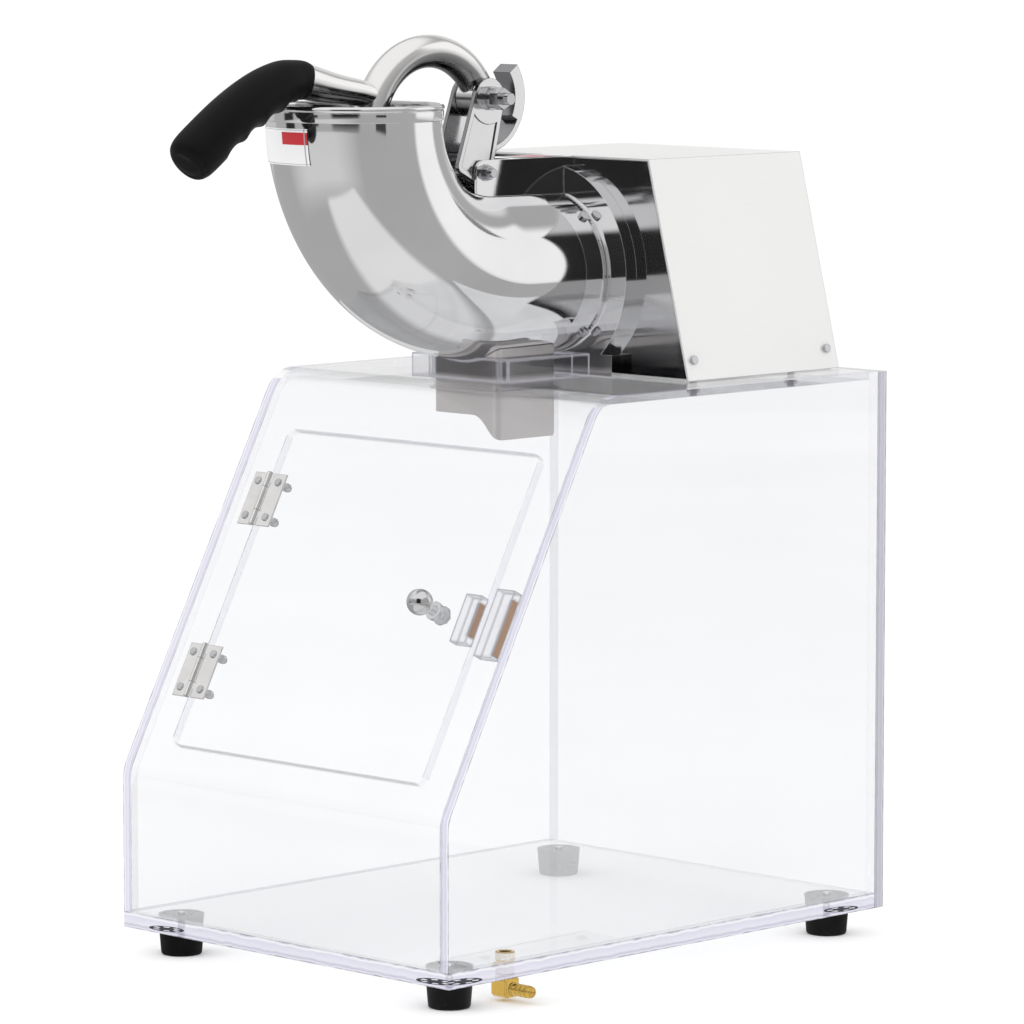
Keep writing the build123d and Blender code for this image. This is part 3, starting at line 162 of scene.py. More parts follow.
# ---- node helpers --------------------------------------------------------------------
class NodeTree:
    """Shorthands for building a node tree."""

    def __init__(self, tree, output):
        self.tree = tree
        self.tree.nodes.clear()
        self.out = self.node(output)

    def node(self, kind, **values):
        made = self.tree.nodes.new(kind)
        for key, value in values.items():
            setattr(made, key, value)
        return made

    def link(self, a, b):
        self.tree.links.new(a, b)

    def feed(self, value, socket):
        """Sets a socket to a number or a color, or links another socket to it."""
        if isinstance(value, (int, float)):
            socket.default_value = value
        elif isinstance(value, tuple):
            socket.default_value = (*value, 1)
        else:
            self.link(value, socket)

    def surface(self, socket):
        self.link(socket, self.out.inputs["Surface"])

    def principled(self, color, metallic, roughness, **extra):
        made = self.node("ShaderNodeBsdfPrincipled")
        made.inputs["Base Color"].default_value = (*color, 1)
        made.inputs["Metallic"].default_value = metallic
        made.inputs["Roughness"].default_value = roughness
        for key, value in extra.items():
            made.inputs[key.replace("_", " ")].default_value = value
        return made

    def coords(self, scale=(1, 1, 1)):
        place = self.node("ShaderNodeTexCoord")
        mapping = self.node("ShaderNodeMapping")
        mapping.inputs["Scale"].default_value = scale
        self.link(place.outputs["Object"], mapping.inputs["Vector"])
        return mapping.outputs["Vector"]

    def noise(self, vector, scale, detail=4.0):
        made = self.node("ShaderNodeTexNoise")
        made.inputs["Scale"].default_value = scale
        made.inputs["Detail"].default_value = detail
        self.link(vector, made.inputs["Vector"])
        return made.outputs["Fac"]

    def remap(self, value, low, high, start=0.3, end=0.7, kind="LINEAR"):
        made = self.node("ShaderNodeMapRange", interpolation_type=kind)
        made.inputs["From Min"].default_value = start
        made.inputs["From Max"].default_value = end
        made.inputs["To Min"].default_value = low
        made.inputs["To Max"].default_value = high
        self.link(value, made.inputs["Value"])
        return made.outputs["Result"]

    def ramp(self, value, stops, kind="LINEAR"):
        made = self.node("ShaderNodeValToRGB")
        ramp = made.color_ramp
        ramp.interpolation = kind
        while len(ramp.elements) < len(stops):
            ramp.elements.new(0.5)
        for element, (place, color) in zip(ramp.elements, stops):
            element.position = place
            element.color = (*color, 1)
        self.link(value, made.inputs["Fac"])
        return made.outputs["Color"]

    def bump(self, height, strength, distance, normal=None):
        made = self.node("ShaderNodeBump")
        made.inputs["Strength"].default_value = strength
        made.inputs["Distance"].default_value = distance
        self.link(height, made.inputs["Height"])
        if normal is not None:
            self.link(normal, made.inputs["Normal"])
        return made.outputs["Normal"]

    def rounded(self, radius):
        made = self.node("ShaderNodeBevel", samples=4)
        made.inputs["Radius"].default_value = radius
        return made.outputs["Normal"]

    def math(self, operation, a, b=0.0):
        made = self.node("ShaderNodeMath", operation=operation)
        self.feed(a, made.inputs[0])
        self.feed(b, made.inputs[1])
        return made.outputs["Value"]

    def any_of(self, *masks):
        """The largest of several masks."""
        found = masks[0]
        for mask in masks[1:]:
            found = self.math("MAXIMUM", found, mask)
        return found

    def glancing(self, facing=0.03):
        """How much a clear surface mirrors: little face on, all of it edge on."""
        shape = self.node("ShaderNodeNewGeometry")
        square = self.node("ShaderNodeVectorMath", operation="DOT_PRODUCT")
        self.link(shape.outputs["Incoming"], square.inputs[0])
        self.link(shape.outputs["Normal"], square.inputs[1])
        slant = self.math("SUBTRACT", 1.0, self.math("ABSOLUTE", square.outputs["Value"]))
        rise = self.math("MULTIPLY", self.math("POWER", slant, 5.0), 1.0 - facing)
        return self.math("ADD", rise, facing)

    def edge_line(self, radius, high=1.0):
        """Runs from 0 on flat faces to high within a radius of an edge."""
        shape = self.node("ShaderNodeNewGeometry")
        turned = self.node("ShaderNodeVectorMath", operation="DOT_PRODUCT")
        self.link(self.rounded(radius), turned.inputs[0])
        self.link(shape.outputs["Normal"], turned.inputs[1])
        return self.remap(turned.outputs["Value"], high, 0.0, 0.90, 0.995)

    def mix_color(self, factor, first, second):
        made = self.node("ShaderNodeMix", data_type="RGBA")
        self.link(factor, made.inputs[0])
        self.feed(first, made.inputs[6])
        self.feed(second, made.inputs[7])
        return made.outputs[2]

    def mix_value(self, factor, first, second):
        made = self.node("ShaderNodeMix")
        self.link(factor, made.inputs[0])
        self.feed(first, made.inputs[2])
        self.feed(second, made.inputs[3])
        return made.outputs[0]

    def mix_shader(self, factor, first, second):
        made = self.node("ShaderNodeMixShader")
        self.feed(factor, made.inputs["Fac"])
        self.link(first.outputs[0], made.inputs[1])
        self.link(second.outputs[0], made.inputs[2])
        return made

    def dot(self, vector, direction):
        made = self.node("ShaderNodeVectorMath", operation="DOT_PRODUCT")
        self.link(vector, made.inputs[0])
        made.inputs[1].default_value = direction
        return made.outputs["Value"]


class Shader(NodeTree):
    """A new material and its node tree."""

    def __init__(self, name):
        self.mat = bpy.data.materials.new(name)
        self.mat.use_nodes = True
        super().__init__(self.mat.node_tree, "ShaderNodeOutputMaterial")

    def surface(self, socket):
        super().surface(socket)
        return self.mat


# ---- materials -----------------------------------------------------------------------
def polished_steel():
    """Mirror-polished stainless with faint smudges and buffing lines."""
    s = Shader("polished_steel")
    bsdf = s.principled((0.80, 0.80, 0.81), 1.0, 0.05)
    smudge = s.noise(s.coords(), 14, 3)
    s.link(s.remap(smudge, 0.035, 0.085), bsdf.inputs["Roughness"])
    lines = s.noise(s.coords((260, 260, 30)), 6, 2)
    tint = s.ramp(smudge, [(0.3, (0.78, 0.78, 0.79)), (0.7, (0.85, 0.85, 0.85))])
    s.link(tint, bsdf.inputs["Base Color"])
    s.link(s.bump(lines, 0.02, 0.0002, s.rounded(0.0006)), bsdf.inputs["Normal"])
    return s.surface(bsdf.outputs[0])


def satin_steel(name, direction, tone, metallic=0.6):
    """Fine brushed sheet; direction is the texture scale that stretches the grain."""
    s = Shader(name)
    bsdf = s.principled(tone, metallic, 0.3)
    grain = s.noise(s.coords(direction), 5, 6)
    cloud = s.noise(s.coords(), 7, 2)
    s.link(s.remap(grain, 0.28, 0.34), bsdf.inputs["Roughness"])
    light = tuple(min(1.0, c * 1.02) for c in tone)
    dark = tuple(c * 0.98 for c in tone)
    both = s.math("ADD", s.math("MULTIPLY", grain, 0.4), s.math("MULTIPLY", cloud, 0.6))
    sheet = s.ramp(both, [(0.35, dark), (0.65, light)])
    # Painted shade: dark lines along the edges.
    wear_and_edge_shade = tuple(c * 0.55 for c in tone)
    s.link(s.mix_color(s.edge_line(0.0008, 0.8), sheet, wear_and_edge_shade), bsdf.inputs["Base Color"])
    s.link(s.bump(grain, 0.006, 0.0001, s.rounded(0.0009)), bsdf.inputs["Normal"])
    return s.surface(bsdf.outputs[0])


def shaded_steel(name, tone, low_tone, height):
    """Polished steel that turns darker below a height, where it only sees what is in shadow."""
    s = Shader(name)
    bsdf = s.principled(tone, 1.0, 0.07)
    smudge = s.noise(s.coords(), 20, 3)
    s.link(s.remap(smudge, 0.05, 0.10), bsdf.inputs["Roughness"])
    above = s.dot(s.node("ShaderNodeNewGeometry").outputs["Position"], (0, 0, 1))
    share = s.remap(above, 0.0, 1.0, (height - 6.0) * MM, (height + 6.0) * MM)
    s.link(s.mix_color(share, low_tone, tone), bsdf.inputs["Base Color"])
    s.link(s.bump(smudge, 0.01, 0.0002, s.rounded(0.0006)), bsdf.inputs["Normal"])
    return s.surface(bsdf.outputs[0])


def link_steel():
    """Polished casting: bright on its right-hand face as painted light, dark elsewhere as painted shade, and
    with painted dark lines along its edges.
    """
    s = Shader("link_steel")
    bsdf = s.principled((0.6, 0.6, 0.6), 1.0, 0.14)
    cloud = s.noise(s.coords(), 60, 4)
    s.link(s.remap(cloud, 0.10, 0.20), bsdf.inputs["Roughness"])
    # Painted light and shade: faces turned to +x get the light tone, the others the dark one.
    side = s.remap(s.dot(s.node("ShaderNodeNewGeometry").outputs["Normal"], (1, 0, 0)), 0.0, 1.0, 0.2, 0.95)
    light = s.ramp(cloud, [(0.3, (0.78, 0.78, 0.78)), (0.7, (0.86, 0.86, 0.86))])
    skin = s.mix_color(side, (0.28, 0.28, 0.29), light)
    # Painted shade: dark lines along the edges.
    s.link(s.mix_color(s.edge_line(0.0007, 0.95), skin, (0.05, 0.05, 0.05)), bsdf.inputs["Base Color"])
    s.link(s.bump(cloud, 0.05, 0.0003, s.rounded(0.0007)), bsdf.inputs["Normal"])
    return s.surface(bsdf.outputs[0])


def chute_steel():
    """Satin sheet with painted shade: dark in the barrel's shade above the cabinet's top, and painted a
    little darker on faces turned to +x.
    """
    s = Shader("chute_steel")
    bsdf = s.principled((0.6, 0.58, 0.57), 0.5, 0.3)
    cloud = s.noise(s.coords(), 12, 3)
    s.link(s.remap(cloud, 0.26, 0.36), bsdf.inputs["Roughness"])
    shape = s.node("ShaderNodeNewGeometry")
    above = s.dot(shape.outputs["Position"], (0, 0, 1))
    collar_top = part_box("chute_collar")[1].z
    # Painted shadow: near black from the cabinet's top up to the collar's top.
    shade = s.any_of(s.remap(above, 1.0, 0.30, CABINET_TOP * MM, (CABINET_TOP + 4.0) * MM),
                     s.remap(above, 0.0, 1.0, collar_top - MM, collar_top + MM))
    # Painted shade: faces turned to +x are a little darker.
    side = s.remap(s.dot(shape.outputs["Normal"], (1, 0, 0)), 1.0, 0.84, 0.3, 0.9)
    tone = s.ramp(cloud, [(0.3, (0.60, 0.58, 0.57)), (0.7, (0.66, 0.63, 0.62))])
    s.link(s.mix_color(s.math("MULTIPLY", shade, side), (0.03, 0.03, 0.03), tone), bsdf.inputs["Base Color"])
    s.link(s.bump(cloud, 0.01, 0.0003, s.rounded(0.0009)), bsdf.inputs["Normal"])
    return s.surface(bsdf.outputs[0])


def lever_steel():
    """Hand-polished tube, soft in its reflections, with painted shade that darkens it underneath."""
    s = Shader("lever_steel")
    bsdf = s.principled((0.8, 0.8, 0.8), 1.0, 0.16)
    smudge = s.noise(s.coords(), 30, 3)
    s.link(s.remap(smudge, 0.12, 0.20), bsdf.inputs["Roughness"])
    upright = s.dot(s.node("ShaderNodeNewGeometry").outputs["Normal"], (0, 0, 1))
    # Painted shade: the colour darkens as the surface turns downward.
    tones = [(0.16, (0.10, 0.10, 0.10)), (0.42, (0.42, 0.42, 0.42)), (0.62, (0.88, 0.87, 0.86))]
    s.link(s.ramp(s.remap(upright, 0.0, 1.0, -1.0, 1.0), tones), bsdf.inputs["Base Color"])
    s.link(s.bump(smudge, 0.02, 0.0003, s.rounded(0.0008)), bsdf.inputs["Normal"])
    return s.surface(bsdf.outputs[0])


def plain_metal(name, color, roughness, grain=0.06, scale=90, in_mirrors=True):
    """Metal with fine grain in its roughness and surface and painted dark lines along its edges, for castings
    and hardware.
    """
    s = Shader(name)
    bsdf = s.principled(color, 1.0, roughness)
    fine = s.noise(s.coords(), scale, 5)
    s.link(s.remap(fine, roughness * 0.7, roughness * 1.4), bsdf.inputs["Roughness"])
    dark = tuple(c * 0.88 for c in color)
    # Painted shade: dark lines along the edges.
    wear_and_edge_shade = tuple(c * 0.22 for c in color)
    skin = s.ramp(fine, [(0.3, dark), (0.7, color)])
    s.link(s.mix_color(s.edge_line(0.0006, 0.9), skin, wear_and_edge_shade), bsdf.inputs["Base Color"])
    s.link(s.bump(fine, grain, 0.0004, s.rounded(0.0005)), bsdf.inputs["Normal"])
    return s.surface(bsdf.outputs[0]) if in_mirrors else s.surface(out_of_mirrors(s, bsdf))


def out_of_mirrors(s, bsdf):
    """The same surface, but not seen in the reflections of polished metal."""
    unseen = s.node("ShaderNodeBsdfTransparent")
    return s.mix_shader(mirror_rays(s), bsdf, unseen).outputs[0]


def rubber(name, tone, roughness, in_mirrors=True):
    """Moulded rubber: fine matt grain with slightly worn high spots."""
    s = Shader(name)
    bsdf = s.principled((tone,) * 3, 0.0, roughness, Specular_IOR_Level=0.12)
    grain = s.noise(s.coords(), 900, 6)
    patches = s.noise(s.coords(), 25, 3)
    s.link(s.remap(patches, roughness - 0.07, roughness + 0.08), bsdf.inputs["Roughness"])
    wear_and_edge_shade = s.ramp(patches, [(0.3, (tone * 0.7,) * 3), (0.7, (tone * 1.35,) * 3)])
    s.link(wear_and_edge_shade, bsdf.inputs["Base Color"])
    s.link(s.bump(grain, 0.12, 0.0002), bsdf.inputs["Normal"])
    return s.surface(bsdf.outputs[0]) if in_mirrors else s.surface(out_of_mirrors(s, bsdf))


def plastic(name, color, roughness):
    """Moulded plastic with a faint grain in its colour, shine and surface."""
    s = Shader(name)
    bsdf = s.principled(color, 0.0, roughness)
    fine = s.noise(s.coords(), 400, 4)
    s.link(s.remap(fine, roughness * 0.8, roughness * 1.25), bsdf.inputs["Roughness"])
    dark = tuple(c * 0.85 for c in color)
    s.link(s.ramp(fine, [(0.3, dark), (0.7, color)]), bsdf.inputs["Base Color"])
    s.link(s.bump(fine, 0.05, 0.0003, s.rounded(0.0005)), bsdf.inputs["Normal"])
    return s.surface(bsdf.outputs[0])


def acrylic(name, edge_axes, across, start, thickness, edge_clear=0.26, painted_glow_strength=1.0):
    """Clear cast acrylic sheet; faces square to an edge axis get a soft painted glow, emitted light standing
    in for the light that polished edges gather.
    """
    s = Shader(name)
    clear = s.node("ShaderNodeBsdfTransparent")
    cloud = s.noise(s.coords(), 5, 3)
    tint = s.ramp(cloud, [(0.3, (0.978, 0.980, 0.985)), (0.7, (0.988, 0.989, 0.992))])
    s.link(tint, clear.inputs["Color"])
    shine = s.node("ShaderNodeBsdfGlossy")
    s.link(s.remap(s.noise(s.coords(), 30, 4), 0.0, 0.03), shine.inputs["Roughness"])
    sheet = s.mix_shader(s.glancing(), clear, shine)
    edge = edge_shader(s, across, start, thickness, clear, edge_clear, painted_glow_strength)
    body = s.mix_shader(facing_axes(s, edge_axes), sheet, edge)
    return s.surface(s.mix_shader(soft_rays(s), body, clear).outputs[0])


def acrylic_plate(name, edge_axes, across, start, thickness):
    """Thick clear plate that bends light: the feet show through its top, and in its edges as a painted dark
    image of their tops.
    """
    s = Shader(name)
    glass = s.node("ShaderNodeBsdfGlass")
    glass.inputs["IOR"].default_value = ACRYLIC_IOR
    glass.inputs["Roughness"].default_value = 0.0
    cloud = s.noise(s.coords(), 5, 3)
    s.link(s.ramp(cloud, [(0.3, (0.985, 0.988, 0.990)), (0.7, (0.994, 0.995, 0.996))]), glass.inputs["Color"])
    clear = s.node("ShaderNodeBsdfTransparent")
    clear.inputs["Color"].default_value = (0.98, 0.98, 0.985, 1)
    edge = edge_shader(s, across, start, thickness, clear, 0.3, 1.0)
    # Painted image: near-black emission where the edge would show a foot's ribbed top.
    dark = s.node("ShaderNodeEmission")
    dark.inputs["Color"].default_value = (0.012, 0.012, 0.016, 1)
    edge_with_foot_image = s.mix_shader(painted_foot_image(s), edge, dark)
    body = s.mix_shader(facing_axes(s, edge_axes), glass, edge_with_foot_image)
    straight = s.any_of(soft_rays(s), mirror_rays(s))
    return s.surface(s.mix_shader(straight, body, clear).outputs[0])


def painted_foot_image(s):
    """Mask of the painted image of the feet: where a ray bent into the plate's edge meets the ribs on top of
    a rubber foot.
    """
    shape = s.node("ShaderNodeNewGeometry")
    inward = s.node("ShaderNodeVectorMath", operation="SCALE")
    inward.inputs["Scale"].default_value = -1.0
    s.link(shape.outputs["Incoming"], inward.inputs[0])
    bent = s.node("ShaderNodeVectorMath", operation="REFRACT")
    s.link(inward.outputs[0], bent.inputs[0])
    s.link(shape.outputs["Normal"], bent.inputs[1])
    bent.inputs["Scale"].default_value = 1.0 / ACRYLIC_IOR
    place = shape.outputs["Position"]
    height = s.math("SUBTRACT", s.dot(place, (0, 0, 1)), CABINET_LOW * MM)
    drop = s.math("MAXIMUM", s.dot(bent.outputs[0], (0, 0, -1)), 0.001)
    reach = s.math("DIVIDE", height, drop)
    off = []
    for axis, centre in (((1, 0, 0), FOOT_X), ((0, 1, 0), FOOT_Y)):
        travel = s.math("MULTIPLY", s.dot(bent.outputs[0], axis), reach)
        hit = s.math("ADD", s.dot(place, axis), travel)
        off.append(s.math("SUBTRACT", s.math("ABSOLUTE", hit), centre * MM))
    return s.math("MULTIPLY", foot_pattern(s, *off), 0.92)


def foot_pattern(s, x, y):
    """Hub, ribs and rim of a foot's top face, for a point beside the foot's centre."""
    hub_r, rim_inner, rim_outer = (r * MM for r in PAINTED_FOOT_IMAGE_R)
    radius = s.math("SQRT", s.math("ADD", s.math("MULTIPLY", x, x), s.math("MULTIPLY", y, y)))
    wave = s.math("COSINE", s.math("MULTIPLY", s.math("ARCTAN2", x, y), FOOT_RIBS))
    hub = s.math("LESS_THAN", radius, hub_r)
    within_rim = s.math("LESS_THAN", radius, rim_inner)
    rib = s.math("MULTIPLY", s.math("GREATER_THAN", wave, 0.0), within_rim)
    outside_rim = s.math("GREATER_THAN", radius, rim_inner)
    rim = s.math("MULTIPLY", outside_rim, s.math("LESS_THAN", radius, rim_outer))
    return s.any_of(rim, hub, rib)


def soft_rays(s):
    """1 for shadow and diffuse rays, which pass straight through the acrylic."""
    path = s.node("ShaderNodeLightPath")
    return s.math("MAXIMUM", path.outputs["Is Shadow Ray"], path.outputs["Is Diffuse Ray"])


def acrylic_block(name):
    """Thick clear acrylic for the catch blocks and the chute's collar, with bright drawn edges as painted
    light: emitted bright and dark bands near each edge.
    """
    s = Shader(name)
    clear = s.node("ShaderNodeBsdfTransparent")
    cloud = s.noise(s.coords(), 40, 3)
    s.link(s.ramp(cloud, [(0.3, (0.93, 0.93, 0.94)), (0.7, (0.97, 0.97, 0.98))]), clear.inputs["Color"])
    shine = s.node("ShaderNodeBsdfGlossy")
    shine.inputs["Roughness"].default_value = 0.02
    face = s.mix_shader(s.glancing(0.05), clear, shine)
    # Painted light: emitted bands along the edges, a bright glow and a dark line.
    glow = s.node("ShaderNodeEmission")
    band = s.edge_line(0.0030)
    bands = [(0.0, (0.95, 0.95, 0.97)), (0.45, (0.86, 0.86, 0.90)), (0.62, (0.10, 0.10, 0.12)),
             (0.80, (0.92, 0.92, 0.95)), (1.0, (0.30, 0.30, 0.34))]
    s.link(s.ramp(band, bands), glow.inputs["Color"])
    edged = s.mix_shader(s.remap(band, 0.0, 0.9, 0.05, 0.4), face, glow)
    unseen = s.any_of(soft_rays(s), mirror_rays(s))
    return s.surface(s.mix_shader(unseen, edged, clear).outputs[0])


def past_acrylic(s):
    """1 for rays that have already passed through a clear sheet."""
    return s.math("GREATER_THAN", s.node("ShaderNodeLightPath").outputs["Transparent Depth"], 0.5)


def mirror_rays(s):
    """1 for rays reflected off polished surfaces, 0 for those seen directly or through acrylic."""
    path = s.node("ShaderNodeLightPath")
    not_through = s.math("SUBTRACT", 1.0, path.outputs["Is Transmission Ray"])
    return s.math("MULTIPLY", path.outputs["Is Glossy Ray"], not_through)


def facing_axes(s, axes):
    """1 where the face is square to one of the sheet's own axes, 0 elsewhere."""
    own = s.node("ShaderNodeVectorTransform", vector_type="NORMAL",
                 convert_from="WORLD", convert_to="OBJECT")
    s.link(s.node("ShaderNodeNewGeometry").outputs["True Normal"], own.inputs[0])
    normal = own.outputs[0]
    aligned = [s.math("GREATER_THAN", s.math("ABSOLUTE", s.dot(normal, axis)), 0.95) for axis in axes]
    return s.any_of(*aligned)


def edge_shader(s, across, start, thickness, clear, edge_clear, painted_glow_strength):
    """Sawn and polished edge drawn as painted light: an emitted glow banded across the sheet's thickness,
    with painted dark and bright lines, and streaks along it.
    """
    place = s.node("ShaderNodeTexCoord").outputs["Object"]
    depth = s.math("SUBTRACT", s.math("ABSOLUTE", s.dot(place, across)), start * MM)
    streak = s.noise(s.coords((60, 60, 60)), 1.5, 3)
    share = s.math("DIVIDE", depth, thickness * MM)
    wobble = s.math("MULTIPLY", s.math("SUBTRACT", streak, 0.5), 0.25)
    # Painted glow: the edge emits these colours whatever the lamps do.
    glow = s.node("ShaderNodeEmission")
    s.link(s.ramp(s.math("ADD", share, wobble), PAINTED_EDGE_GLOW), glow.inputs["Color"])
    glow.inputs["Strength"].default_value = painted_glow_strength
    shine = s.node("ShaderNodeBsdfGlossy")
    shine.inputs["Roughness"].default_value = 0.08
    faded = s.any_of(mirror_rays(s), s.math("MULTIPLY", past_acrylic(s), 0.8))
    through = s.mix_shader(s.remap(faded, edge_clear, 1.0, 0.0, 1.0), glow, clear)
    return s.mix_shader(s.glancing(), through, shine)


def paper_label(name, stops, axis, plain_share=0.0):
    """Printed foil label: flat bands of colour along one direction, white over the first share across."""
    s = Shader(name)
    bsdf = s.principled((0.9, 0.9, 0.9), 0.0, 0.35)
    printed = s.node("ShaderNodeTexCoord").outputs["UV"]
    bands = s.ramp(s.dot(printed, axis), stops, "CONSTANT")
    across = s.dot(printed, (axis[1], axis[0], 0))
    banded = s.math("GREATER_THAN", across, plain_share)
    border = s.any_of(label_rim(s, printed, (1, 0, 0)), label_rim(s, printed, (0, 1, 0)))
    color = s.mix_color(banded, (0.85, 0.85, 0.86), bands)
    s.link(s.mix_color(border, color, (0.35, 0.35, 0.36)), bsdf.inputs["Base Color"])
    fibre = s.noise(s.coords(), 600, 3)
    s.link(s.remap(fibre, 0.3, 0.42), bsdf.inputs["Roughness"])
    return s.surface(bsdf.outputs[0])


def label_rim(s, printed, axis):
    """1 on a thin line just inside the label's two borders across an axis."""
    off = s.math("ABSOLUTE", s.math("SUBTRACT", s.dot(printed, axis), 0.5))
    return s.math("MULTIPLY", s.math("GREATER_THAN", off, 0.455), s.math("LESS_THAN", off, 0.47))


# ---- mesh helpers --------------------------------------------------------------------
def new_object(name, verts, faces, material, body, slot):
    """A mesh in millimetres turned into a piece that rides on a CAD body."""
    mesh = bpy.data.meshes.new(name)
    mesh.from_pydata([Vector(v) * MM for v in verts], [], faces)
    mesh.validate()
    work = bmesh.new()
    work.from_mesh(mesh)
    bmesh.ops.recalc_face_normals(work, faces=work.faces)
    work.to_mesh(mesh)
    work.free()
    for polygon in mesh.polygons:
        polygon.use_smooth = True
    obj = bpy.data.objects.new(name, mesh)
    bpy.context.scene.collection.objects.link(obj)
    mesh.materials.append(material)
    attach(obj, body)
    return obj


def sharp_edges(obj, degrees=35):
    """Keeps edges crisp where faces meet at more than the given angle."""
    mesh = obj.data
    work = bmesh.new()
    work.from_mesh(mesh)
    for edge in work.edges:
        if len(edge.link_faces) == 2 and edge.calc_face_angle(0) > math.radians(degrees):
            edge.smooth = False
    work.to_mesh(mesh)
    work.free()
    return obj


def skin_rings(rings, closed=False):
    """Faces joining equal-length rings of vertices, with end caps unless closed."""
    verts = [v for ring in rings for v in ring]
    n = len(rings[0])
    count = len(rings)
    faces = []
    for i in range(count if closed else count - 1):
        a, b = i * n, ((i + 1) % count) * n
        faces += [(a + k, a + (k + 1) % n, b + (k + 1) % n, b + k) for k in range(n)]
    if not closed:
        faces.append(tuple(range(n - 1, -1, -1)))
        faces.append(tuple((count - 1) * n + k for k in range(n)))
    return verts, faces


def add_part(verts, faces, part):
    """Adds another part's vertices and faces to the lists."""
    more, extra = part
    faces.extend(tuple(i + len(verts) for i in face) for face in extra)
    verts.extend(more)


def tangents(path):
    """Unit tangent at each (y, z) point of a path."""
    found = []
    for i in range(len(path)):
        a = path[max(i - 1, 0)]
        b = path[min(i + 1, len(path) - 1)]
        found.append(Vector((0, b[0] - a[0], b[1] - a[1])).normalized())
    return found


def ring_at(y, z, tangent, half_x, half_n, segments, shape=None):
    """Ellipse round a point, square to the tangent; shape(angle) scales the radius."""
    side = Vector((1, 0, 0))
    up = tangent.cross(side)
    ring = []
    for k in range(segments):
        a = 2 * math.pi * k / segments
        grow = shape(a) if shape else 1.0
        across = side * half_x * grow * math.cos(a)
        ring.append(Vector((0, y, z)) + across + up * half_n * grow * math.sin(a))
    return ring


def sweep(path, radii, segments=64):
    """Rings along a (y, z) path; radii are (half width in x, half width in the plane)."""
    stations = zip(path, tangents(path), radii)
    return [ring_at(y, z, t, rx, rn, segments) for (y, z), t, (rx, rn) in stations]


def lathe(profile, centre, segments=96, axis="z"):
    """Rings of a closed (radius, height) profile turned about an axis through centre."""
    rings = []
    for k in range(segments):
        a = 2 * math.pi * k / segments
        c, s = math.cos(a), math.sin(a)
        if axis == "z":
            rings.append([Vector((r * c, r * s, h)) + centre for r, h in profile])
        elif axis == "x":
            rings.append([Vector((h, r * c, r * s)) + centre for r, h in profile])
        else:
            rings.append([Vector((r * c, h, r * s)) + centre for r, h in profile])
    return rings


def smoothstep(x, a, b):
    """Eased 0 to 1 as x goes from a to b."""
    t = min(max((x - a) / (b - a), 0), 1)
    return t * t * (3 - 2 * t)


def catmull_rom(a, b, c, d, t):
    """Value between b and c at share t, with a and d as the neighbours."""
    bend = (2 * a - 5 * b + 4 * c - d) * t * t + (3 * b - a - 3 * c + d) * t ** 3
    return 0.5 * (2 * b + (c - a) * t + bend)


def blend_points(points, count):
    """Catmull-Rom curve through tuples of numbers."""
    pts = [points[0]] + list(points) + [points[-1]]
    out = []
    for i in range(count):
        u = i / (count - 1) * (len(points) - 1)
        k = min(int(u), len(points) - 2)
        t = u - k
        p0, p1, p2, p3 = pts[k:k + 4]
        out.append(tuple(catmull_rom(*four, t) for four in zip(p0, p1, p2, p3)))
    return out


# ---- hopper --------------------------------------------------------------------------
def elbow_path():
    """Centreline of the hopper from mouth to flange, with each point's share of the way."""
    top = RIM_TOP - 1.5
    path = [(HOPPER_Y, top - (top - BEND_Z) * i / 3) for i in range(3)]
    for i in range(49):
        a = math.pi + math.pi / 2 * i / 48
        path.append((BEND_Y + BEND_R * math.cos(a), BEND_Z + BEND_R * math.sin(a)))
    path += [(BEND_Y + (BARREL_END - BEND_Y) * i / 14, AXIS_Z) for i in range(1, 15)]
    lengths = [0.0]
    for a, b in zip(path, path[1:]):
        lengths.append(lengths[-1] + math.dist(a, b))
    return path, [v / lengths[-1] for v in lengths]


def build_hopper(steel):
    """Elbow from the mouth to the flange, open over the chute, and the rim round the mouth."""
    path, share = elbow_path()
    outer = [HOPPER_R + (BARREL_R - HOPPER_R) * t for t in share]
    rings = sweep(path, [(r, r) for r in outer], 128)
    rings += reversed(sweep(path, [(r - SKIN, r - SKIN) for r in outer], 128))
    verts, faces = skin_rings(rings, closed=True)
    keep = [f for f in faces if not over_chute([verts[i] for i in f])]
    hopper = new_object("hopper_skin", verts, keep, steel, "machine", "polished_steel")
    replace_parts(hopper, "hopper_elbow")
    rim = new_object("hopper_rim", *skin_rings(rim_rings(), closed=True), steel, "machine", "polished_steel")
    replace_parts(sharp_edges(rim, 40), "rim_ring")


def over_chute(corners):
    """True for barrel faces over the chute, where the ice falls out."""
    mid = sum(corners, Vector()) / len(corners)
    front, back = CHUTE_Y
    return abs(mid.x) < CHUTE_HALF and front < mid.y < back and mid.z < AXIS_Z - 30


def rim_rings():
    """Rolled band round the mouth with a rounded bead along its top edge."""
    low, high = RIM_TOP - RIM_H, RIM_TOP
    profile = [(58.35, low + 0.3), (58.9, low), (59.3, low + 0.2), (RIM_R, low + 0.9), (RIM_R, high - 4.2)]
    for i in range(9):
        a = -math.pi / 3 + i * math.pi * 5 / 6 / 8
        profile.append((57.7 + BEAD_R * math.cos(a), high - BEAD_R + BEAD_R * math.sin(a)))
    profile += [(57.0, high - 0.1), (56.6, high - 1.2), (56.6, high - 2.6), (58.3, high - 3.2)]
    return lathe(profile, Vector((0, HOPPER_Y, 0)), 128)


# ---- press lever ---------------------------------------------------------------------
def on_arc(angle):
    """Point (y, z) on the gooseneck's arc at an angle in degrees."""
    a = math.radians(angle)
    y, z = GOOSENECK_CENTRE
    return (y + GOOSENECK_R * math.cos(a), z + GOOSENECK_R * math.sin(a))


